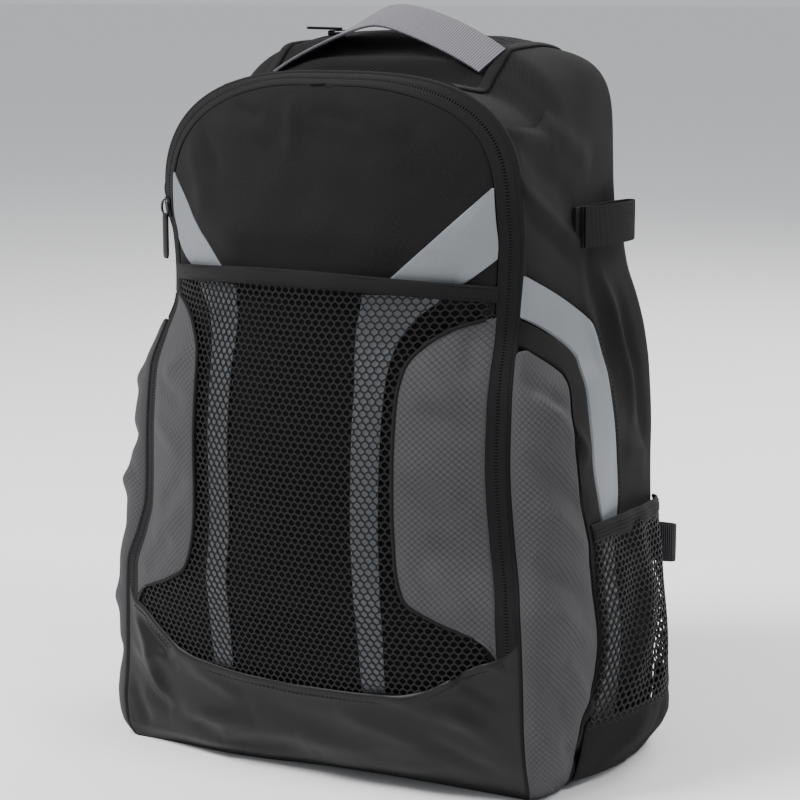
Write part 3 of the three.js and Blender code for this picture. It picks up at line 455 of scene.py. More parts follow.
def oval(wide, high, points=12, power=2.0):
    """A superellipse profile with an even number of points."""
    turn = np.arange(points) / points * 2 * np.pi
    c, s = np.cos(turn), np.sin(turn)
    return np.stack([np.sign(c) * np.abs(c) ** (2 / power) * wide / 2,
                     np.sign(s) * np.abs(s) ** (2 / power) * high / 2], -1)


def beads(name, centre, along, out, size, material):
    """Many small eight-sided beads, one at each centre: half lengths size along, across and out."""
    along = along / np.linalg.norm(along, axis=-1, keepdims=True)
    across = np.cross(along, out)
    across /= np.linalg.norm(across, axis=-1, keepdims=True)
    out = np.cross(across, along)
    corner = np.array([[-1, -1, -1], [1, -1, -1], [1, 1, -1], [-1, 1, -1],
                       [-0.6, -0.6, 1], [0.6, -0.6, 1], [0.6, 0.6, 1], [-0.6, 0.6, 1]]) * size
    verts = centre[:, None] + sum(corner[None, :, k:k + 1] * axis[:, None]
                                  for k, axis in enumerate((along, across, out)))
    box = np.array([[0, 3, 2, 1], [4, 5, 6, 7], [0, 1, 5, 4], [1, 2, 6, 5], [2, 3, 7, 6], [3, 0, 4, 7]])
    faces = (np.arange(len(centre))[:, None, None] * 8 + box).reshape(-1, 4)
    return put_mesh(name, verts.reshape(-1, 3), faces, np.zeros((len(centre) * 8, 2)), material)


def even(path, pitch):
    """Points at an even pitch along a path, with the path's direction there."""
    far = np.concatenate([[0], np.cumsum(np.linalg.norm(np.diff(path, axis=0), axis=-1))])
    at = np.arange(pitch / 2, far[-1], pitch)
    place = np.stack([np.interp(at, far, path[:, k]) for k in range(3)], -1)
    along = np.gradient(path, axis=0)
    return place, np.stack([np.interp(at, far, along[:, k]) for k in range(3)], -1)


def front_out(p):
    """The front's outward direction at points on it."""
    return front_at(p[..., 0], p[..., 2], 1.0) - front_at(p[..., 0], p[..., 2], 0.0)


tape_cloth = woven("zip tape", (0.0068, 0.0063, 0.0069), 1.5, 0.8, 0.02)
thread = Board("zip coil thread").finish((0.0095, 0.0090, 0.0100), 0.6, shine=0.15)
u, v = grid(420, 13)
start = seam_share(boot_top(front_half(BOOT_HEIGHT) - v * ZIP_WIDTH) - 4)
inner = inside_point((2 * u - 1) * start, v * ZIP_WIDTH)
groove = 0.9 * np.exp(-(((v - 0.5) * ZIP_WIDTH / 0.8) ** 2))
sewn_edge = 0.35 * np.exp(-(((v - 0.93) * ZIP_WIDTH / 1.2) ** 2))
lift = 0.5 - groove + sewn_edge
tape = front_at(inner[..., 0], inner[..., 1], lift)
cloth("front_zip_tape", tape, np.stack([u * 1000, v * ZIP_WIDTH], -1), 1.4, tape_cloth,
      ["front_zip"])
middle = inside_point(np.linspace(-0.86, 0.86, 500), 7.0)
coil, coil_way = even(front_at(middle[:, 0], middle[:, 1], 0.15), 1.9)
beads("front_zip_coil", coil, np.cross(coil_way, front_out(coil)), front_out(coil), (1.9, 0.55, 0.35),
      thread)
edge = np.linspace(-1, 1, 360)
seam = body_point(np.where(edge < 0, -1, 1), 0, np.minimum(2 * (1 - np.abs(edge)) + 0.004, 2))
seam_out = seam - HEART
seam_out /= np.linalg.norm(seam_out, axis=-1, keepdims=True)
sweep("front_seam_piping", seam + np.array([0, 1.3, 0]) - seam_out * 0.5, seam_out, oval(4.6, 4.2, 12),
      tape_cloth)

# Zip pull
# A painted metal ring hooked through the slider at the left of the arch. A long flat tab hangs from it.
zip_metal = Board("painted zip metal").finish((0.012, 0.012, 0.013), 0.3, metal=0.6, coat=0.3)
pull_at = inside_point(-seam_share(0.80 * FRONT_HEIGHT), 5.0)
seat = front_at(pull_at[0], pull_at[1], 2.2)
hang = np.array([seat[0] - 0.5, seat[1] - 1.0, seat[2]])
turn = np.linspace(0, 2 * np.pi, 28, endpoint=False)
face = np.array([-0.42, -0.9, 0.0])
side_way = np.array([0.9, -0.42, 0.0])
ring = hang + np.outer(np.sin(turn) * 4.2, side_way) + np.outer(np.cos(turn) * 4.8, [0, 0, 1])
sweep("pull_ring", ring, np.tile(face, (28, 1)), oval(1.6, 1.6, 8), zip_metal, close=True)
drop = hang + np.outer(np.linspace(-3.5, -32, 20), [0, 0, 1.0])
taper = np.ones((20, 2))
taper[[0, 19], 0], taper[[1, 18], 0] = 0.6, 0.9
sweep("pull_tab", drop, np.tile(face, (20, 1)), oval(6.0, 1.8, 12, 4), zip_metal,
      ["zip_pull"], taper)
slider = front_at(np.full(6, pull_at[0]), pull_at[1] + np.linspace(-5, 6, 6), 1.2)
sweep("front_zip_slider", slider, front_out(slider), oval(8.0, 3.2, 12, 3), zip_metal)

# Pocket binding
# A folded black band sewn over the mouth of the front pocket, with a stitched lower edge.
u, v = grid(140, 9)
end = band_bottom(FRONT_WIDTH) + v * BINDING_WIDTH
half_band = inside_point(seam_share(end), ZIP_WIDTH - 0.5)[..., 0]
x = (2 * u - 1) * half_band
z = band_bottom(x) + v * BINDING_WIDTH
rise = 1.5 + 1.0 * np.sin(np.pi * v) ** 0.5 + 0.25 * np.sin(x / 9)
cloth("pocket_band", front_at(x, z, rise), np.stack([x, z], -1), 2.6, tape_cloth,
      ["pocket_binding"])
x = np.linspace(-110, 110, 400)
for n, share in enumerate((0.16, 0.86)):
    line, way = even(front_at(x, band_bottom(x) + share * BINDING_WIDTH, 2.1), 2.6)
    beads(f"band_stitches_{n + 1}", line, way, front_out(line), (0.9, 0.28, 0.3), thread)

# Grey panels of the front pocket
# Grey ripstop with a fine dark diamond grid: one panel each side of the net, piped at its edge.
RIPSTOP_EDGE = np.array([
    [0.775, 0.676], [0.665, 0.664], [0.560, 0.638], [0.505, 0.608], [0.490, 0.560],
    [0.488, 0.430], [0.500, 0.350], [0.540, 0.297], [0.660, 0.270], [0.870, 0.242],
])
knots = np.arange(len(RIPSTOP_EDGE))
edge_x = follow(knots, RIPSTOP_EDGE[:, 0] * FRONT_WIDTH / 2)
edge_z = follow(knots, RIPSTOP_EDGE[:, 1] * FRONT_HEIGHT)


def ripstop(name, colour, pitch=2.6):
    """Grey cloth with a grid of thicker threads at 45 degrees, darker and sunk between the fine ones."""
    board = Board(name)
    u, v = board.across()
    lines = (u + v).line(pitch * 1.41, 0.62).math("MAXIMUM", (u - v).line(pitch * 1.41, 0.62))
    threads = u.wave(0.9) * v.wave(0.9) * 0.5 + 0.5
    uneven = board.cloud(30.0) * 0.5 + 0.25
    light = tuple(c * 1.2 for c in colour)
    dark = tuple(c * 0.82 for c in colour)
    plain = board.mix(threads * 0.5 + uneven * 0.5, dark, light)
    tint = board.mix(lines * 0.7, plain, tuple(c * 0.4 for c in colour))
    return board.finish(tint, 0.72, threads * 0.3 - lines, 0.00035, 0.03)


grey_ripstop = ripstop("grey ripstop", (0.052, 0.049, 0.052))
# x0, z0, x1, z1 for the right side, half width, height
GREY_FOLDS = {
    1: [
        (76, 268, 102, 240, 6, 2.4), (82, 240, 114, 222, 6, -2.6), (73, 214, 106, 190, 7, 2.4),
        (76, 196, 100, 172, 5, -2.0), (90, 164, 118, 138, 7, -2.4), (72, 158, 86, 126, 5, 2.0),
        (96, 190, 116, 172, 6, 2.0), (100, 282, 107, 255, 5, -1.8), (88, 146, 116, 118, 6, 2.2),
    ],
    -1: [
        (74, 262, 102, 240, 6, 2.4), (78, 226, 112, 236, 6, -2.4), (80, 200, 114, 214, 7, 2.4),
        (76, 182, 104, 160, 6, -2.6), (80, 160, 112, 140, 6, 2.2), (92, 140, 114, 118, 6, -2.0),
    ],
}
for word, side in (("left", -1), ("right", 1)):
    u, v = grid(120, 56)
    place = u * (len(knots) - 1)
    foot = float(boot_top(FRONT_WIDTH / 2 - ZIP_WIDTH)) - 2
    outer = inside_point(seam_share(RIPSTOP_EDGE[0, 1] * FRONT_HEIGHT * (1 - u) + foot * u),
                         ZIP_WIDTH - 0.6)
    x = edge_x(place) * (1 - v) + outer[..., 0] * v
    z = edge_z(place) * (1 - v) + outer[..., 1] * v
    fade = np.sin(np.pi * np.clip(v, 0, 1)) ** 0.6
    folds = (ridges(x, z, GREY_FOLDS[side]) + weave_wander(x, z, 0.25)) * fade
    out = 0.9 + 2.2 * fade * np.sin(np.pi * u) ** 0.5 + folds
    cloth(f"grey_front_panel_{word}", front_at(side * x, z, out), np.stack([side * x, z], -1), 1.3,
          grey_ripstop, [f"front_ripstop_{word}"])
    t = np.linspace(0.02, 0.995, 200) * (len(knots) - 1)
    rim = front_at(side * edge_x(t), edge_z(t), 1.0)
    sweep(f"grey_panel_piping_{word}", rim, front_out(rim), oval(2.4, 2.2, 8), tape_cloth)

# Front pocket net
# Black knitted net with flattened six-sided holes, cut through, laid between the grey panels. It runs a
# little under their edges, the band and the boot.


def net(name, inside, place, wide, tall, thread_width, thick, span, material, nodes):
    """Honeycomb net: rows of six-sided cells, wide apart and tall/2 between rows, each a ring of six faces
    round a hole. inside(a, b) keeps a cell and place(a, b, out) puts it on the surface. span holds both
    ends of a, then of b."""
    a0, a1, b0, b1 = span
    side_run, slope_run = tall * 0.25, tall * 0.25
    rows = np.arange(b0, b1, side_run + slope_run)
    cells = np.concatenate([np.stack([np.arange(a0 + (k % 2) * wide / 2, a1, wide),
                                      np.full(len(np.arange(a0 + (k % 2) * wide / 2, a1, wide)), b)], -1)
                            for k, b in enumerate(rows)])
    cells = cells[inside(cells[:, 0], cells[:, 1])]
    hexagon = np.array([[0.5, -0.25], [0.5, 0.25], [0, 0.75], [-0.5, 0.25], [-0.5, -0.25], [0, -0.75]])
    hexagon = hexagon * [wide, side_run + slope_run]
    shrink = 1 - thread_width / wide
    outer = (cells[:, None] + hexagon).reshape(-1, 2)
    hole = (cells[:, None] + hexagon * [shrink, shrink - 0.06]).reshape(-1, 2)
    keys = np.round(outer * 50).astype(np.int64)
    _, first, shared = np.unique(keys, axis=0, return_index=True, return_inverse=True)
    shared = shared.reshape(-1, 6)
    flat = np.concatenate([outer[first], hole])
    holes = (len(first) + np.arange(len(hole))).reshape(-1, 6)
    total = len(flat)
    verts = np.concatenate([place(flat[:, 0], flat[:, 1], thick / 2),
                            place(flat[:, 0], flat[:, 1], -thick / 2)])
    nxt = np.roll(np.arange(6), -1)
    top = np.stack([shared, shared[:, nxt], holes[:, nxt], holes], -1).reshape(-1, 4)
    wall = np.stack([holes, holes[:, nxt], holes[:, nxt] + total, holes + total], -1).reshape(-1, 4)
    pairs = np.stack([shared, shared[:, nxt]], -1).reshape(-1, 2)
    code = np.sort(pairs, 1) @ [total, 1]
    _, where, counts = np.unique(code, return_index=True, return_counts=True)
    rim = pairs[where[counts == 1]]
    border = np.stack([rim[:, 1], rim[:, 0], rim[:, 0] + total, rim[:, 1] + total], -1)
    faces = np.concatenate([top, top[:, ::-1] + total, wall, border])
    return put_mesh(name, verts, faces, np.tile(flat, (2, 1)), material, nodes, 60)


net_thread = Board("net thread").finish((0.0062, 0.0058, 0.0064), 0.6, shine=0.2)
edge_line = np.linspace(0, len(knots) - 1, 300)
edge_low, edge_high = edge_z(edge_line)[::-1], edge_x(edge_line)[::-1]


def in_front_net(x, z):
    """Which cells lie between the grey panels, the band and the boot, and a little under their edges."""
    reach = np.interp(z, edge_low, edge_high) + 3
    reach = np.where(z > 0.676 * FRONT_HEIGHT, 108, reach)
    reach = np.where(z < 0.242 * FRONT_HEIGHT, 122, reach)
    return (np.abs(x) < reach) & (z < band_bottom(x) + 3) & (z > boot_top(x) - 4)


def lay_front_net(x, z, out):
    """The front's surface with the slight waves of a slack net."""
    return front_at(x, z, out + 0.2 + 0.25 * np.sin(x / 17 + z / 23))


net("honeycomb_front_net", in_front_net, lay_front_net, 4.7, 7.2, 0.85, 0.9, (-125.0, 125.0, 58.0, 312.0),
    net_thread, ["front_net"])

# Silver stripes and corner flashes
# Satin silver coated cloth. The stripes are sewn on the panel behind the net and flare towards the band;
# the flashes lie on the panel above the band, with their points up the zip.


def silver(name, colour):
    """Satin coating with a fine grain and no weave."""
    board = Board(name)
    grain = board.cloud(900.0, 2.0)
    tint = board.mix(grain, tuple(c * 0.86 for c in colour), tuple(c * 1.1 for c in colour))
    return board.finish(tint, 0.5, grain, 0.0001, 0.0, shine=0.35)


silver_cloth = silver("silver coated cloth", (0.160, 0.170, 0.182))
STRIPE = np.array([
    [0.150, 0.328, 0.433], [0.268, 0.324, 0.440], [0.386, 0.306, 0.425],
    [0.486, 0.310, 0.430], [0.585, 0.310, 0.436], [0.625, 0.300, 0.450],
    [0.660, 0.298, 0.490], [0.685, 0.308, 0.555], [0.700, 0.315, 0.610],
])
stripe_in, stripe_out = follow(STRIPE[:, 0], STRIPE[:, 1]), follow(STRIPE[:, 0], STRIPE[:, 2])
for word, side in (("left", -1), ("right", 1)):
    u, v = grid(9, 120)
    low, high = float(boot_top(0.43 * FRONT_WIDTH / 2)) - 3, float(band_bottom(0.6 * FRONT_WIDTH / 2)) + 2
    z = low + (high - low) * v
    x = side * (stripe_in(z / FRONT_HEIGHT) * (1 - u) + stripe_out(z / FRONT_HEIGHT) * u) * FRONT_WIDTH / 2
    cloth(f"silver_front_stripe_{word}", front_at(x, z, 0.9 - POCKET_TUCK + 1.4), np.stack([x, z], -1), 1.0,
          silver_cloth, [f"front_stripe_{word}"])
    tip, cut_top, inner_foot, cut_foot, bend = 0.855 * FRONT_HEIGHT, 0.756 * FRONT_HEIGHT, 59.0, 96.5, 0.62
    u, v = grid(36, 60)
    along = 0.015 + 0.985 * v
    tip_x = float(inside_point(seam_share(tip), ZIP_WIDTH + 0.6)[0])
    cut_x = float(inside_point(seam_share(cut_top), ZIP_WIDTH + 0.8)[0])
    inner_x = tip_x + (inner_foot - tip_x) * along
    inner_z = tip + (band_top(inner_foot) - 2 - tip) * along
    low_part = np.clip((along - bend) / (1 - bend), 0, 1)
    high_part = np.clip(along / bend, 0, 1)
    edge_z_line = tip + (cut_top - tip) * high_part + (band_top(cut_foot) - 2 - cut_top) * low_part
    seam_x = inside_point(seam_share(edge_z_line), ZIP_WIDTH + 0.6)[..., 0]
    outer_x = np.where(along < bend, seam_x, cut_x + (cut_foot - cut_x) * low_part)
    x = inner_x + (outer_x - inner_x) * u
    z = inner_z + (edge_z_line - inner_z) * u
    out = (ridges(side * x, z, FRONT_FOLDS) + weave_wander(side * x, z, 0.25)) - tuck(side * x, z) + 0.7
    cloth(f"corner_flash_{word}", front_at(side * x, z, out), np.stack([x, z], -1), 0.9, silver_cloth,
          [f"front_flash_{word}"])

# Boot
# A smooth coated cloth wraps the lower front and turns under the bag, with a stitched fold at its top.


def coated(name, colour):
    """Smooth coated cloth: a slow cloudiness in the colour and a fine leathery grain."""
    board = Board(name)
    grain = board.cloud(420.0, 2.0)
    cloudy = board.cloud(22.0)
    tint = board.mix(cloudy, tuple(c * 0.88 for c in colour), tuple(c * 1.14 for c in colour))
    return board.finish(tint, 0.46, grain, 0.00010, 0.0, shine=0.2)


boot_cloth = coated("coated boot cloth", (0.0068, 0.0066, 0.0072))
BOOT_FOLDS = [
    (-139, 98, -106, 38, 5, 3.0), (-134, 86, -92, 58, 4, -2.6), (-138, 66, -96, 30, 5, 2.6),
    (-128, 56, -84, 66, 5, 2.0), (-120, 34, -60, 20, 7, -2.6), (-100, 24, -36, 34, 6, 2.4),
    (-60, 12, 0, 20, 6, -2.2), (-84, 62, -40, 48, 5, 1.8), (56, 68, 122, 50, 6, 2.2),
    (92, 90, 134, 64, 5, -2.4), (100, 62, 138, 34, 6, 2.6), (84, 40, 128, 20, 6, -2.2),
    (-24, 46, 40, 36, 8, -1.6), (16, 14, 92, 18, 6, 2.0), (118, 92, 139, 82, 3, 2.0),
    (30, 50, 84, 36, 6, 1.6), (-136, 40, -122, 12, 5, -2.4), (0, 28, 50, 24, 6, 1.4),
]
u, v = grid(200, 90)
share = 2 * u - 1
top = boot_top(share * front_half(BOOT_HEIGHT))
z = top * v**1.3
x = share * front_half(z)
fade = np.clip(1.02 - np.abs(share) ** 8, 0, 1) * np.clip(z / 12, 0, 1)
hem = 1.3 * np.exp(-(((top - z) - 3) / 4.0) ** 2)
folds = (ridges(x, z, BOOT_FOLDS) + weave_wander(x, z, 0.3)) * fade
out = 0.6 + hem * np.clip(8 * (1 - np.abs(share)), 0, 1) + folds
cloth("boot_front", front_at(x, z, out), np.stack([x, z], -1), 1.8, boot_cloth,
      ["base_front"])
x = np.linspace(-132, 132, 500)
line, way = even(front_at(x, boot_top(x) - 5.5, 1.9), 3.0)
beads("boot_stitches", line, way, front_out(line), (1.05, 0.28, 0.3), thread)


def depth_ring(count):
    """The base's outline inside the walls: the front, then each side back to its rear corner."""
    across = np.linspace(-1, 1, count)
    front = front_at(across * front_half(0.0), np.zeros(count), -2.2)
    depth = np.linspace(0.02, 1, count) ** 2
    right_side, left_side = body_point(1, depth, 0), body_point(-1, depth, 0)
    right_side[:, 0] -= 2.4
    left_side[:, 0] += 2.4
    ring = np.concatenate([front, right_side, left_side[::-1]])
    ring[:, 1] = np.clip(ring[:, 1], None, BACK_FACE - 2.0)
    return ring


ring = depth_ring(60)
layers = []
for height, shrink in ((0.4, 0.0), (0.4, 0.5), (0.4, 0.98), (2.2, 0.98), (2.2, 0.5), (2.2, 0.0)):
    layer = ring * (1 - shrink) + np.array([0, -4, 0]) * shrink
    layer[:, 2] = height
    layers.append(layer)
verts = np.stack(layers)
index = np.arange(verts.shape[0] * verts.shape[1]).reshape(verts.shape[:2])
after_ring, after_layer = np.roll(index, -1, 1), np.roll(index, -1, 0)
faces = np.stack([index, after_ring, np.roll(after_ring, -1, 0), after_layer], -1).reshape(-1, 4)
put_mesh("boot_floor", verts.reshape(-1, 3), faces, verts.reshape(-1, 3)[:, :2], boot_cloth,
         ["base_floor"])

# Side walls
# Each wall is pieced: grey ripstop at the front, a black band, a silver stripe that bends down the side,
# and black cloth behind it. The edges are smooth curves through one row per place.


def on_body(side, depth, up, out=0.0):
    """The wall's surface moved out along its normal, from differences along depth and up."""
    side, depth, up, out = np.broadcast_arrays(side, depth, up, np.asarray(out, float))
    h = 0.006
    back = body_point(side, np.minimum(depth + h, 1), up) - body_point(side, np.maximum(depth - h, 0), up)
    rise = body_point(side, depth, np.minimum(up + h, 2)) - body_point(side, depth, np.maximum(up - h, 0))
    normal = np.cross(back, rise) * side[..., None]
    normal /= np.maximum(np.linalg.norm(normal, axis=-1, keepdims=True), 1e-9)
    return body_point(side, depth, up) + normal * out[..., None]


def wall_start(up, gap=1.0):
    """The depth at which the wall is gap away from its front seam, by halving."""
    near, far = np.zeros(np.shape(up)), np.full(np.shape(up), 0.05)
    seam = body_point(1, 0, up)
    for _ in range(16):
        middle = (near + far) / 2
        close = np.linalg.norm(body_point(1, middle, up) - seam, axis=-1) < gap
        near, far = np.where(close, middle, near), np.where(close, far, middle)
    return far


def top_seam_up(side, depth, across):
    """How far up the body the top seam runs, by halving."""
    depth = np.asarray(depth, float)
    low, high = np.ones(depth.shape), np.full(depth.shape, 2.0)
    for _ in range(24):
        middle = (low + high) / 2
        wide = np.abs(body_point(side, depth, middle)[..., 0]) > across
        low, high = np.where(wide, middle, low), np.where(wide, high, middle)
    return high


# grey depth, up, band's far edge depth, up, stripe's far edge depth, up, far depth, up (3 is the top seam)
SIDE = np.array([
    [0.000, 0.797, 0.000, 0.842, 0.000, 0.919, 0.00, 3],
    [0.040, 0.786, 0.045, 0.833, 0.090, 0.902, 0.10, 3],
    [0.090, 0.774, 0.095, 0.823, 0.192, 0.883, 0.20, 3],
    [0.150, 0.758, 0.200, 0.799, 0.320, 0.855, 0.30, 3],
    [0.190, 0.743, 0.280, 0.778, 0.425, 0.828, 0.40, 3],
    [0.200, 0.728, 0.312, 0.762, 0.480, 0.802, 0.52, 3],
    [0.194, 0.710, 0.312, 0.740, 0.503, 0.772, 0.75, 3],
    [0.186, 0.680, 0.308, 0.700, 0.512, 0.730, 1.00, 3],
    [0.184, 0.640, 0.302, 0.650, 0.515, 0.680, 1.00, 1.45],
    [0.196, 0.584, 0.305, 0.590, 0.518, 0.620, 1.00, 1.20],
    [0.223, 0.497, 0.345, 0.500, 0.533, 0.520, 1.00, 1.00],
    [0.262, 0.420, 0.372, 0.425, 0.488, 0.425, 1.00, 0.78],
    [0.325, 0.330, 0.420, 0.330, 0.535, 0.330, 1.00, 0.55],
    [0.342, 0.270, 0.438, 0.262, 0.558, 0.250, 1.00, 0.38],
    [0.315, 0.210, 0.400, 0.190, 0.545, 0.170, 1.00, 0.22],
    [0.220, 0.135, 0.300, 0.110, 0.515, 0.080, 1.00, 0.09],
    [0.150, 0.000, 0.230, 0.000, 0.480, 0.000, 1.00, 0.00],
])
places = np.arange(len(SIDE))
side_curves = [follow(places, SIDE[:, k]) for k in range(8)]
last_top = int(np.sum(SIDE[:, 7] == 3)) - 1
rear_up = SIDE[last_top:, 7].copy()


def side_edge(side, edge, place):
    """An edge's root of depth and its up, at row places. The far edge is the top seam, then the rear."""
    depth = side_curves[2 * edge](place)
    if edge < 3:
        return np.sqrt(np.maximum(depth, 0)), side_curves[2 * edge + 1](place)
    seam = top_seam_up(side, depth, TOP_SEAM)
    rear_up[0] = float(top_seam_up(side, 1.0, TOP_SEAM))
    rear = follow(places[last_top:], rear_up)(place)
    return np.sqrt(depth), np.where(place <= last_top, seam, rear)


def side_arc(depth):
    """Length over the wall from the front seam, for patterns."""
    knots = np.linspace(0, 1, 60) ** 2
    path = body_point(1, knots, 0.45)
    far = np.concatenate([[0], np.cumsum(np.linalg.norm(np.diff(path, axis=0), axis=-1))])
    return np.interp(depth, knots, far)


# arc length from the front seam, height, to arc length, height, half width, height of the fold
SIDE_FOLDS = {
    1: [
        (20, 244, 62, 205, 6, 3.2), (12, 212, 56, 172, 6, -3.4), (16, 184, 58, 148, 6, 3.0),
        (10, 256, 40, 236, 5, -2.2), (14, 150, 60, 118, 6, -3.0), (22, 122, 66, 92, 6, 2.8),
        (34, 86, 70, 44, 6, 3.0), (8, 92, 40, 50, 6, -2.8), (6, 56, 36, 20, 6, 2.4),
        (30, 40, 64, 14, 6, -2.4), (0, 368, 105, 321, 6, 3.2), (6, 354, 92, 312, 6, -2.8),
        (110, 320, 118, 226, 8, -3.0), (130, 304, 142, 212, 7, 3.0), (92, 300, 104, 246, 6, 2.4),
        (150, 294, 166, 190, 8, -2.6), (14, 396, 74, 386, 6, 2.2), (24, 380, 96, 352, 9, -2.0),
        (60, 400, 130, 372, 10, 2.2), (118, 200, 170, 186, 9, 2.2), (120, 40, 180, 30, 9, 2.6),
        (100, 20, 150, 52, 8, -2.4),
    ],
    -1: [
        (16, 238, 54, 208, 6, 3.0), (10, 200, 50, 176, 6, -3.2), (14, 172, 52, 142, 6, 3.0),
        (20, 140, 60, 108, 6, -2.8), (12, 96, 56, 64, 7, 2.8), (8, 60, 44, 26, 6, -2.6),
        (0, 356, 100, 316, 6, 2.8), (110, 318, 120, 225, 8, -2.6), (130, 294, 152, 208, 7, 2.6),
        (20, 388, 80, 378, 7, 2.0),
    ],
}


def side_piece(name, side, first, last, counts, material, node, swell=0.0, base=0.0, start=0.0):
    """One piece of a side wall between two of the edges in SIDE, the front seam standing in for a missing
    one. It is a ruled patch in root of depth and up, folded in its middle and sunk along its edges."""
    u, v = grid(*counts)
    place = start + u * (places[-1] - start)
    if first is None:
        seam_up = (SIDE[0, 1] - 0.012) * (1 - u)
        a = np.stack([np.sqrt(wall_start(seam_up)), seam_up], -1)
    else:
        a = np.stack(side_edge(side, first, place), -1)
    b = np.stack(side_edge(side, last, place), -1)
    middle = a + (b - a) * v[..., None]
    depth = np.clip(middle[..., 0], 0, 1) ** 2
    up = np.clip(middle[..., 1], 0, 2)
    depth = np.maximum(depth, wall_start(up))
    fade = (np.sin(np.pi * v) ** 0.5) * np.clip(up / 0.05, 0, 1)
    arc, height = side_arc(depth), body_point(side, depth, up)[..., 2]
    folds = 1.35 * ridges(arc, height, SIDE_FOLDS[side]) + weave_wander(arc, height, 0.3)
    folds = folds * fade * (up < 1.35)
    groove = -0.9 * (1 - np.clip(np.minimum(v, 1 - v) * 40, 0, 1))
    p = on_body(side, depth, up, base + swell * fade + folds + groove)
    return cloth(name, p, np.stack([arc, height], -1), 1.7, material, [node])


for word, side in (("left", -1), ("right", 1)):
    side_piece(f"black_side_{word}", side, 2, 3, (170, 110), black_cloth,
               f"side_panel_{word}")
    side_piece(f"silver_side_stripe_{word}", side, 1, 2, (170, 24), silver_cloth,
               f"side_stripe_{word}", 0.4, 0.3)
    side_piece(f"black_side_band_{word}", side, 0, 1, (170, 14), black_cloth,
               f"side_band_{word}", 0.5, 0.2)
    side_piece(f"grey_side_panel_{word}", side, None, 0, (150, 60), grey_ripstop,
               f"side_ripstop_{word}", 1.6, 0.5, 0.6)
    for n, (edge, offset) in enumerate(((0, 0.006), (2, 0.008))):
        place = np.linspace(0.7, 15.2, 700)
        root, up = side_edge(side, edge, place)
        path = on_body(side, (root + offset) ** 2, up, 0.75)
        line, way = even(path, 3.0)
        out = line - HEART
        beads(f"side_stitches_{word}_{n + 1}", line, way, out / np.linalg.norm(out, axis=-1, keepdims=True),
              (1.0, 0.28, 0.3), thread)

# Roof
# The top panel steps up from the arch to the ridge. The main zip runs along the ridge between the two top
# seams, and a panel behind it turns down to the back. Folded strips cover the top seams.
ROOF_FOLDS = [
    (-60, 40, 60, 46, 6, -4.2), (-50, 58, 55, 62, 6, 3.4), (-66, 24, -10, 30, 5, 2.8),
    (10, 22, 70, 30, 5, -2.6), (-40, 74, 50, 80, 6, -2.8), (-20, 92, 50, 90, 6, 2.2),
    (-50, 130, 40, 138, 9, -2.4), (0, 160, 60, 150, 9, 2.2), (-70, 12, -30, 18, 4, -1.8),
    (20, 8, 66, 16, 4, 1.6),
]


def roof(name, first, last, counts, material, node, base=0.0, folded=1.0, gap=0.0):
    """A piece of the roof between two shares of depth, from one top seam over the crown to the other."""
    u, v = grid(*counts)
    share = 2 * u - 1
    depth = first + (last - first) * v
    depth = np.maximum(depth, gap)
    side = np.where(share < 0, -1, 1)
    seam = top_seam_up(side, depth, TOP_SEAM)
    up = 2 - np.abs(share) ** 1.2 * (2 - seam)
    arc = depth * 175
    x = share * TOP_SEAM
    fade = np.clip(np.sin(np.pi * u), 0, 1) ** 0.4 * np.clip(depth / 0.04, 0, 1)
    out = base + folded * fade * (ridges(x, arc, ROOF_FOLDS) + weave_wander(x, arc, 0.4))
    p = body_point(side, depth, np.minimum(up, CROWN_UP))
    normal = np.cross(np.gradient(p, axis=1), np.gradient(p, axis=0))
    normal /= np.maximum(np.linalg.norm(normal, axis=-1, keepdims=True), 1e-9)
    normal *= np.sign((normal * (p - HEART)).sum())
    return cloth(name, p + normal * out[..., None], np.stack([x, arc], -1), 1.7, material, [node])


ZIP_FRONT = 0.56
ZIP_BACK = ZIP_FRONT + ZIP_WIDTH / (0.8 * BAG_DEPTH)
roof("top_cloth", 0.0, ZIP_FRONT, (90, 130), black_cloth, "top_panel", gap=0.008)
roof("main_zip_tape", ZIP_FRONT, ZIP_BACK, (90, 9), tape_cloth, "main_zip", 0.7, 0.3)
roof("top_rear_cloth", ZIP_BACK, 1.0, (90, 60), black_cloth, "top_rear_panel")
x = np.linspace(-74, 74, 240)
ridge_side = np.where(x < 0, -1, 1)
ridge_depth = np.full(240, (ZIP_FRONT + ZIP_BACK) / 2)
ridge_up = top_seam_up(ridge_side, ridge_depth, np.abs(x))
ridge = body_point(ridge_side, ridge_depth, np.minimum(ridge_up, CROWN_UP)) + [0, 0, 1.0]
line, way = even(ridge, 1.9)
UP = np.array([0, 0, 1.0])
beads("main_zip_coil", line, np.cross(way, UP), np.tile(UP, (len(line), 1)), (1.9, 0.55, 0.35), thread)
slider_at = ridge[34]
block = slider_at + np.outer(np.linspace(-6, 6, 8), [1.0, 0, 0.02]) + [0, 0, 0.8]
sweep("painted_main_slider", block, np.tile(UP, (8, 1)), oval(8, 3.6, 12, 3), zip_metal,
      ["main_zip_slider"])
tab = slider_at + np.outer(np.linspace(2, -22, 10), [0.72, 0.6, -0.03]) + [0, 0, 3.4]
sweep("main_zip_pull", tab, np.tile(UP, (10, 1)), oval(5, 1.8, 12, 4), zip_metal)
for word, side in (("left", -1), ("right", 1)):
    depth = np.linspace(0.03, 0.985, 160)
    path = on_body(side, depth, top_seam_up(side, depth, TOP_SEAM), 0.9)
    out = on_body(side, depth, top_seam_up(side, depth, TOP_SEAM), 2.0) - path
    sweep(f"top_seam_strip_{word}", path, out, oval(7.0, 3.0, 14, 2.6), tape_cloth,
          [f"top_binding_{word}"])

# Haul handle
# Grey ribbed webbing, 25 mm wide, sewn into the two top seams and bowed up between them.


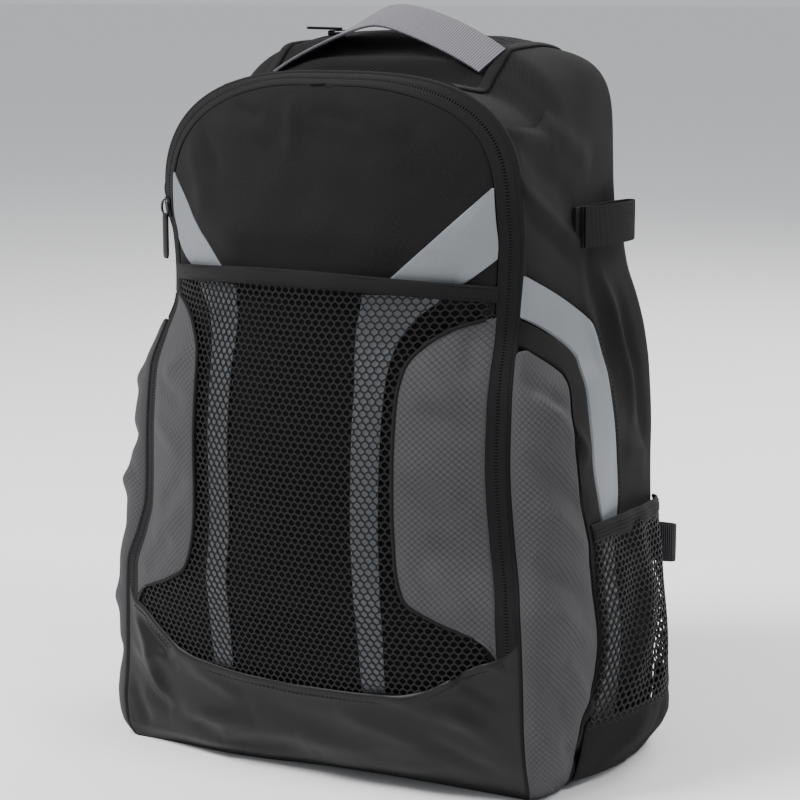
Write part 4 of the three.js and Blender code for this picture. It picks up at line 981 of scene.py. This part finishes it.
def webbing(name, colour, rib=1.6, share=0.3):
    """Woven band: ribs across its length, crossed by finer threads."""
    board = Board(name)
    u, v = board.across()
    ribs = v.wave(rib) * 0.5 + 0.5
    cross = u.wave(1.3) * 0.5 + 0.5
    tint = board.mix(ribs * 0.7 + cross * 0.3, tuple(c * (1 - share) for c in colour),
                     tuple(c * (1 + share / 2) for c in colour))
    return board.finish(tint, 0.78, ribs + cross * 0.4, 0.0004, 0.0)


grey_webbing = webbing("grey webbing", (0.165, 0.160, 0.178))
WEBBING_WIDTH, WEBBING_THICK, HANDLE_LIFT = 25.0, 2.0, 23.0
t = np.linspace(-1, 1, 160)
x = t * (TOP_SEAM - 2.5)
side = np.where(t < 0, -1, 1)


def at_depth(depth):
    """The roof's points under the handle at one share of depth."""
    depth = np.full(len(t), depth)
    up = top_seam_up(side, depth, np.abs(x))
    return body_point(side, depth, np.minimum(up, CROWN_UP))


bow = 1 - (np.hypot(t, 0.15) - 0.15) / (np.hypot(1, 0.15) - 0.15)
low_edge, high_edge = at_depth(0.33), at_depth(0.47)
wide = high_edge - low_edge
wide[:, 0] = 0
wide[:, 2] *= 0.15 + 1.05 * (0.5 + 0.5 * np.sin(np.clip(t * 1.3, -1, 1) * np.pi / 2))
wide /= np.linalg.norm(wide, axis=-1, keepdims=True)
path = low_edge + wide * WEBBING_WIDTH / 2 + np.outer(HANDLE_LIFT * bow + 2.2, UP)
along = np.gradient(path, axis=0)
out = np.cross(along, wide)
out *= np.sign(out[:, 2:])
sweep("woven_haul_handle", path, out, oval(WEBBING_WIDTH, WEBBING_THICK, 24, 8), grey_webbing,
      ["haul_handle"])

# Back panel
# A foam pad under black cloth between the rear edges of the walls, against the wearer. It is finished
# plainly, with a soft roll at its seam. Its filled form comes from the crown and the rolled edge.
BACK_TOP, BACK_CROWN, BACK_PAD = 1.97, 7.0, 8.0


def back_face(share, up, out=0.0):
    """The back between the rear edges of the walls, crowned by a power of four across and a sine up."""
    left, right = body_point(-1, 1, up), body_point(1, 1, up)
    across = (share + 1) / 2
    crown = BACK_CROWN * (1 - share**4) * np.maximum(np.sin(np.pi * up / BACK_TOP), 0) ** 0.5
    x = left[..., 0] + 0.4 + (right[..., 0] - left[..., 0] - 0.8) * across
    z = left[..., 2] + (right[..., 2] - left[..., 2]) * across
    return np.stack([x, back_y(z) + crown + out, z], -1)


u, v = grid(90, 120)
share, up = 2 * u - 1, np.maximum(v * BACK_TOP, 0.002)
flat = back_face(share, up)
puff = ridges(flat[..., 0], flat[..., 2], [(-46, 60, -46, 380, 5, -2.2), (46, 60, 46, 380, 5, -2.2)])
worn_face = back_face(share, up, puff + weave_wander(flat[..., 0], flat[..., 2], 0.3))
rim = np.minimum(np.minimum(u, 1 - u), np.minimum(v, 1 - v) * 1.5)
pad = 1.8 + (BACK_PAD - 1.8) * np.clip(rim / 0.05, 0, 1) ** 0.6
index = np.arange(u.size).reshape(u.shape)
under = index + u.size
inner_face = worn_face - pad[..., None] * [0, 1, 0]
verts = np.concatenate([worn_face.reshape(-1, 3), inner_face.reshape(-1, 3)])
ring = np.concatenate([index[0, :-1], index[:-1, -1], index[-1, :0:-1], index[:0:-1, 0]])
after = np.roll(ring, -1)
faces = np.concatenate([
    np.stack([index[:-1, :-1], index[:-1, 1:], index[1:, 1:], index[1:, :-1]], -1).reshape(-1, 4),
    np.stack([under[:-1, :-1], under[1:, :-1], under[1:, 1:], under[:-1, 1:]], -1).reshape(-1, 4),
    np.stack([ring, ring + u.size, after + u.size, after], -1)])
back = put_mesh("padded_back", verts, faces, np.tile(flat[..., [0, 2]].reshape(-1, 2), (2, 1)), black_cloth,
                ["back_panel"])
u = np.linspace(0.01, BACK_TOP - 0.002, 200)
for word, side in (("left", -1.0), ("right", 1.0)):
    path = back_face(np.full(200, side), u, 0.4)
    sweep(f"back_seam_piping_{word}", path, np.tile([0.3 * side, 1.0, 0], (200, 1)), oval(3.6, 3.2, 10),
          tape_cloth)

# Side pockets
# A bottle pocket on each side: ribbed elastic along its mouth, a wall of coarse net and a black cloth
# foot. The net stands off the wall where a bottle would go and gathers a little under the elastic.
POCKET_DEPTH, POCKET_HEIGHT, POCKET_BASE, POCKET_REAR, POCKET_LIFT = 20.0, 163.0, 43.0, 0.955, 7.0
pocket_front_at = follow([0, 0.12, 0.27, 0.36, 0.48], [0.17, 0.235, 0.350, 0.320, 0.250])


def pocket_point(side, across, z, out=0.0):
    """The pocket's face: the wall's surface moved out by a swell that lessens towards the mouth."""
    across = np.clip(across, 0, 1)
    swell = np.maximum(np.sin(np.pi * across**1.25), 0) ** 0.8
    low = np.minimum(z / (0.6 * POCKET_BASE), 1)
    gather = np.maximum(z - POCKET_BASE, 0) / (POCKET_HEIGHT - POCKET_BASE)
    stand = 2.0 + POCKET_DEPTH * swell * (0.35 + 0.65 * low) * (1 - 0.65 * gather)
    depth = pocket_front_at(z / SPRING) * (1 - across) + POCKET_REAR * across
    return on_body(side, depth, z / SPRING, stand + out)


def pocket_top(across):
    """The lower edge of the pocket's elastic, which falls towards the back."""
    return POCKET_HEIGHT - BINDING_WIDTH + 10 * across * (1 - across) - 8 * across


NET_REACH = 135.0
for word, side in (("left", -1), ("right", 1)):
    u, v = grid(110, 15)
    z = pocket_top(u) + v * BINDING_WIDTH
    gathers = 0.5 * np.sin(u * 26) * np.sin(np.pi * u)
    ribs = 0.35 * np.cos(v * 2 * np.pi * 5) + 0.7 * np.sin(np.pi * v) + gathers
    cloth(f"ribbed_pocket_elastic_{word}", pocket_point(side, u, z, ribs + 0.5),
          np.stack([u * NET_REACH, z], -1), 1.6, tape_cloth, [f"pocket_elastic_{word}"])
    u, v = grid(90, 30)
    z = POCKET_LIFT + v * (POCKET_BASE + 1 - POCKET_LIFT)
    wrinkle = ridges(u * NET_REACH, z,
                     [(20, 14, 60, 38, 7, 2.0), (60, 10, 90, 40, 7, -2.0), (95, 12, 118, 34, 7, 1.8)])
    cloth(f"cloth_pocket_foot_{word}", pocket_point(side, u, z, (wrinkle + 0.3) * np.sin(np.pi * u) ** 0.5),
          np.stack([u * NET_REACH, z], -1), 1.2, black_cloth, [f"pocket_foot_{word}"])

    def crumple(a, z, out):
        """The pocket's face with the slack net's gathers, which fade at its edges."""
        across = a / NET_REACH
        slack = np.clip((z - POCKET_BASE) / 20, 0, 1) * np.sin(np.pi * np.clip(across, 0, 1))
        folds = 1.3 * np.sin(a / 6.5 + 2.2 * np.sin(z / 26)) + 0.9 * np.sin(a / 11 - z / 9)
        return pocket_point(side, across, z, out + folds * slack)

    def in_pocket(a, z):
        """Which cells lie on the pocket's face, between its foot and its elastic."""
        across = a / NET_REACH
        return (across > 0.0) & (across < 1.0) & (z > POCKET_BASE - 4) & (z < pocket_top(across) + 4)

    net(f"honeycomb_pocket_net_{word}", in_pocket, crumple, 5.6, 7.6, 1.25, 0.9,
        (-3.0, NET_REACH + 3, POCKET_BASE - 8, POCKET_HEIGHT), net_thread, [f"pocket_net_{word}"])

# Bat loops
# A band of black webbing folded back on itself and sewn to the wall at its front end, for a bat's handle.
black_webbing = webbing("black webbing", (0.0080, 0.0078, 0.0084), 1.3, 0.2)
worn_webbing = webbing("mid grey webbing", (0.042, 0.041, 0.045), 1.3, 0.2)
LOOP_REACH, LOOP_BULGE = 63.0, 13.0
anchor = body_point(1, 0.46, 0.98)


def fold(turn):
    """How far a folded band's two legs lie from its middle line; it changes sign round the bend."""
    return 1.8 * np.sin(turn) / np.hypot(np.sin(turn), 0.08)


for word, side in (("left", -1), ("right", 1)):
    turn = np.linspace(0.03, 0.97, 90) * 2 * np.pi
    along = (1 - np.cos(turn)) / 2
    away = LOOP_BULGE / 2 + 1.85 - 0.55 * fold(turn) - (LOOP_BULGE / 2 - 1.6) * np.sin(turn) * along**0.5
    x = anchor[0] + away - LOOP_BULGE * 0.275 * (1 - along) ** 2
    path = np.stack([side * x, anchor[1] + along * LOOP_REACH, np.full(90, anchor[2])], -1)
    way = np.gradient(path, axis=0)
    out = np.cross(way, UP)
    sweep(f"woven_bat_loop_{word}", path, out, oval(WEBBING_WIDTH, 1.6, 20, 8), black_webbing,
          [f"bat_loop_{word}"])
    patch = np.tile([side * (anchor[0] + 1.4), anchor[1], anchor[2]], (8, 1))
    patch[:, 1] += np.linspace(-5, 6, 8)
    sweep(f"bat_loop_tack_{word}", patch, np.tile([side, 0, 0.0], (8, 1)), oval(WEBBING_WIDTH, 2.4, 16, 6),
          black_webbing)

# Shoulder straps
# Foam straps under black cloth, from the top of the back down to a plain buckle, a webbing tail and the
# loop sewn in the rear corner of the side wall. They are hidden in the photograph and finished plainly.
STRAP_WIDTH, STRAP_PAD, STRAP_REACH = 62.0, 9.0, 32.0
STRAP = np.array([
    [0, 0.26, -0.05, 0.93], [0.15, 0.30, 0.45, 0.90], [0.40, 0.36, 0.95, 0.76],
    [0.70, 0.43, 1.00, 0.58], [1.00, 0.52, 0.80, 0.41],
])
strap_across, strap_off, strap_height = (follow(STRAP[:, 0], STRAP[:, k]) for k in (1, 2, 3))
buckle_plastic = Board("buckle plastic").finish((0.014, 0.014, 0.015), 0.42)
for word, side in (("left", -1), ("right", 1)):
    t = np.linspace(0, 1, 120)
    z = strap_height(t) * BAG_HEIGHT
    y = back_y(z) + BACK_CROWN + 0.4 + STRAP_PAD + strap_off(t) * STRAP_REACH - STRAP_PAD / 2
    path = np.stack([side * strap_across(t) * FRONT_WIDTH / 2, y, z], -1)
    way = np.gradient(path, axis=0)
    out = np.cross(way, [1.0, 0, 0])
    out *= np.sign(out[:, 1:2])
    taper = np.stack([1 - 0.35 * np.clip((t - 0.7) / 0.3, 0, 1) ** 2, np.ones(120)], -1)
    taper[0], taper[-1] = taper[0] * [0.94, 0.5], taper[-1] * [0.94, 0.5]
    strap = sweep(f"padded_shoulder_strap_{word}", path, out, oval(STRAP_WIDTH, STRAP_PAD, 40, 3.4),
                  black_cloth, [f"shoulder_strap_{word}"], taper)
    end = path[-1]
    block = end + np.outer(np.linspace(-6.3, -20, 8), UP) + [0, -STRAP_PAD / 2 + 1.0, 0]
    round_off = np.ones((8, 2))
    round_off[[0, -1]] = 0.86
    sweep(f"plastic_strap_buckle_{word}", block, np.tile([0, 1.0, 0], (8, 1)), oval(32, 5, 20, 5),
          buckle_plastic, [f"strap_buckle_{word}"], round_off)
    foot = back_face(np.array(0.80), np.array(0.40))
    foot = np.array([side * foot[0], foot[1] + 3.0, foot[2]])
    start = np.array([end[0], end[1] + 1.0, end[2] - 21.6])
    s = np.linspace(0, 1, 40)[:, None]
    tail = start * (1 - s) + foot * s
    sweep(f"strap_tail_{word}", tail, np.tile([0, 1.0, 0.4], (40, 1)), oval(WEBBING_WIDTH, 1.6, 20, 8),
          black_webbing, [f"strap_webbing_{word}"])
    foot_loop = body_point(1, 1.0, 0.355)
    turn = np.linspace(0.04, 0.96, 70) * 2 * np.pi
    along = (1 - np.cos(turn)) / 2
    x = foot_loop[0] - 4 + 30 * along
    y = foot_loop[1] + 2.75 + 3 * along - 0.55 * fold(turn) - (0.9 + 1.5 * along) * np.sin(turn)
    path = np.stack([side * x, y, np.full(70, foot_loop[2])], -1)
    sweep(f"woven_strap_anchor_{word}", path, np.cross(np.gradient(path, axis=0), UP),
          oval(WEBBING_WIDTH, 1.6, 20, 8), worn_webbing, [f"strap_anchor_{word}"])

# Floor, light and camera
# A plain pale floor, soft studio light from the front left and above, and the photograph's viewpoint.
FLOOR_TONE = (0.90, 0.90, 0.905)
floor_mesh = bpy.data.meshes.new("floor")
FLOOR_REACH = 60.0
floor_corners = [(x * FLOOR_REACH, y * FLOOR_REACH, 0) for x, y in ((-1, -1), (1, -1), (1, 1), (-1, 1))]
floor_mesh.from_pydata(floor_corners, [], [(0, 1, 2, 3)])
floor_mesh.materials.append(Board("floor").finish(FLOOR_TONE, 0.9))
floor = bpy.data.objects.new("floor", floor_mesh)
bpy.context.scene.collection.objects.link(floor)
world = bpy.data.worlds.new("studio")
bpy.context.scene.world = world
world.use_nodes = True
world.node_tree.nodes["Background"].inputs["Color"].default_value = (0.95, 0.97, 1.0, 1)
world.node_tree.nodes["Background"].inputs["Strength"].default_value = 0.62


def lamp(name, place, aim, size, power):
    """A square soft light at a place, turned to its aim."""
    light = bpy.data.lights.new(name, "AREA")
    light.size, light.energy = size, power
    made = bpy.data.objects.new(name, light)
    made.location = place
    made.rotation_euler = look(place, aim)
    bpy.context.scene.collection.objects.link(made)


def look(place, aim):
    """The turn that points a lamp or camera at its aim with its top upwards."""
    way = np.array(aim, float) - np.array(place, float)
    level = np.hypot(way[0], way[1])
    return (np.arctan2(level, -way[2]), 0.0, np.arctan2(way[1], way[0]) - np.pi / 2)


AIM = (0.00118, 0.0, 0.2172)
lamp("key", (-1.0, -1.2, 2.1), AIM, 0.9, 95)
lamp("fill", (1.6, -0.2, 2.1), AIM, 0.7, 30)
lamp("rear", (0.4, 1.8, 1.7), AIM, 1.4, 40)
AZIMUTH, ELEVATION, DISTANCE, LENS = np.radians(30.0), np.radians(10.5), 1.4175, 99.6
camera_place = (AIM[0] + DISTANCE * np.sin(AZIMUTH) * np.cos(ELEVATION),
                AIM[1] - DISTANCE * np.cos(AZIMUTH) * np.cos(ELEVATION),
                AIM[2] + DISTANCE * np.sin(ELEVATION))
lens = bpy.data.cameras.new("camera")
lens.lens, lens.sensor_width = LENS, 36.0
camera = bpy.data.objects.new("camera", lens)
camera.location = camera_place
camera.rotation_euler = look(camera_place, AIM)
bpy.context.scene.collection.objects.link(camera)
bpy.context.scene.camera = camera
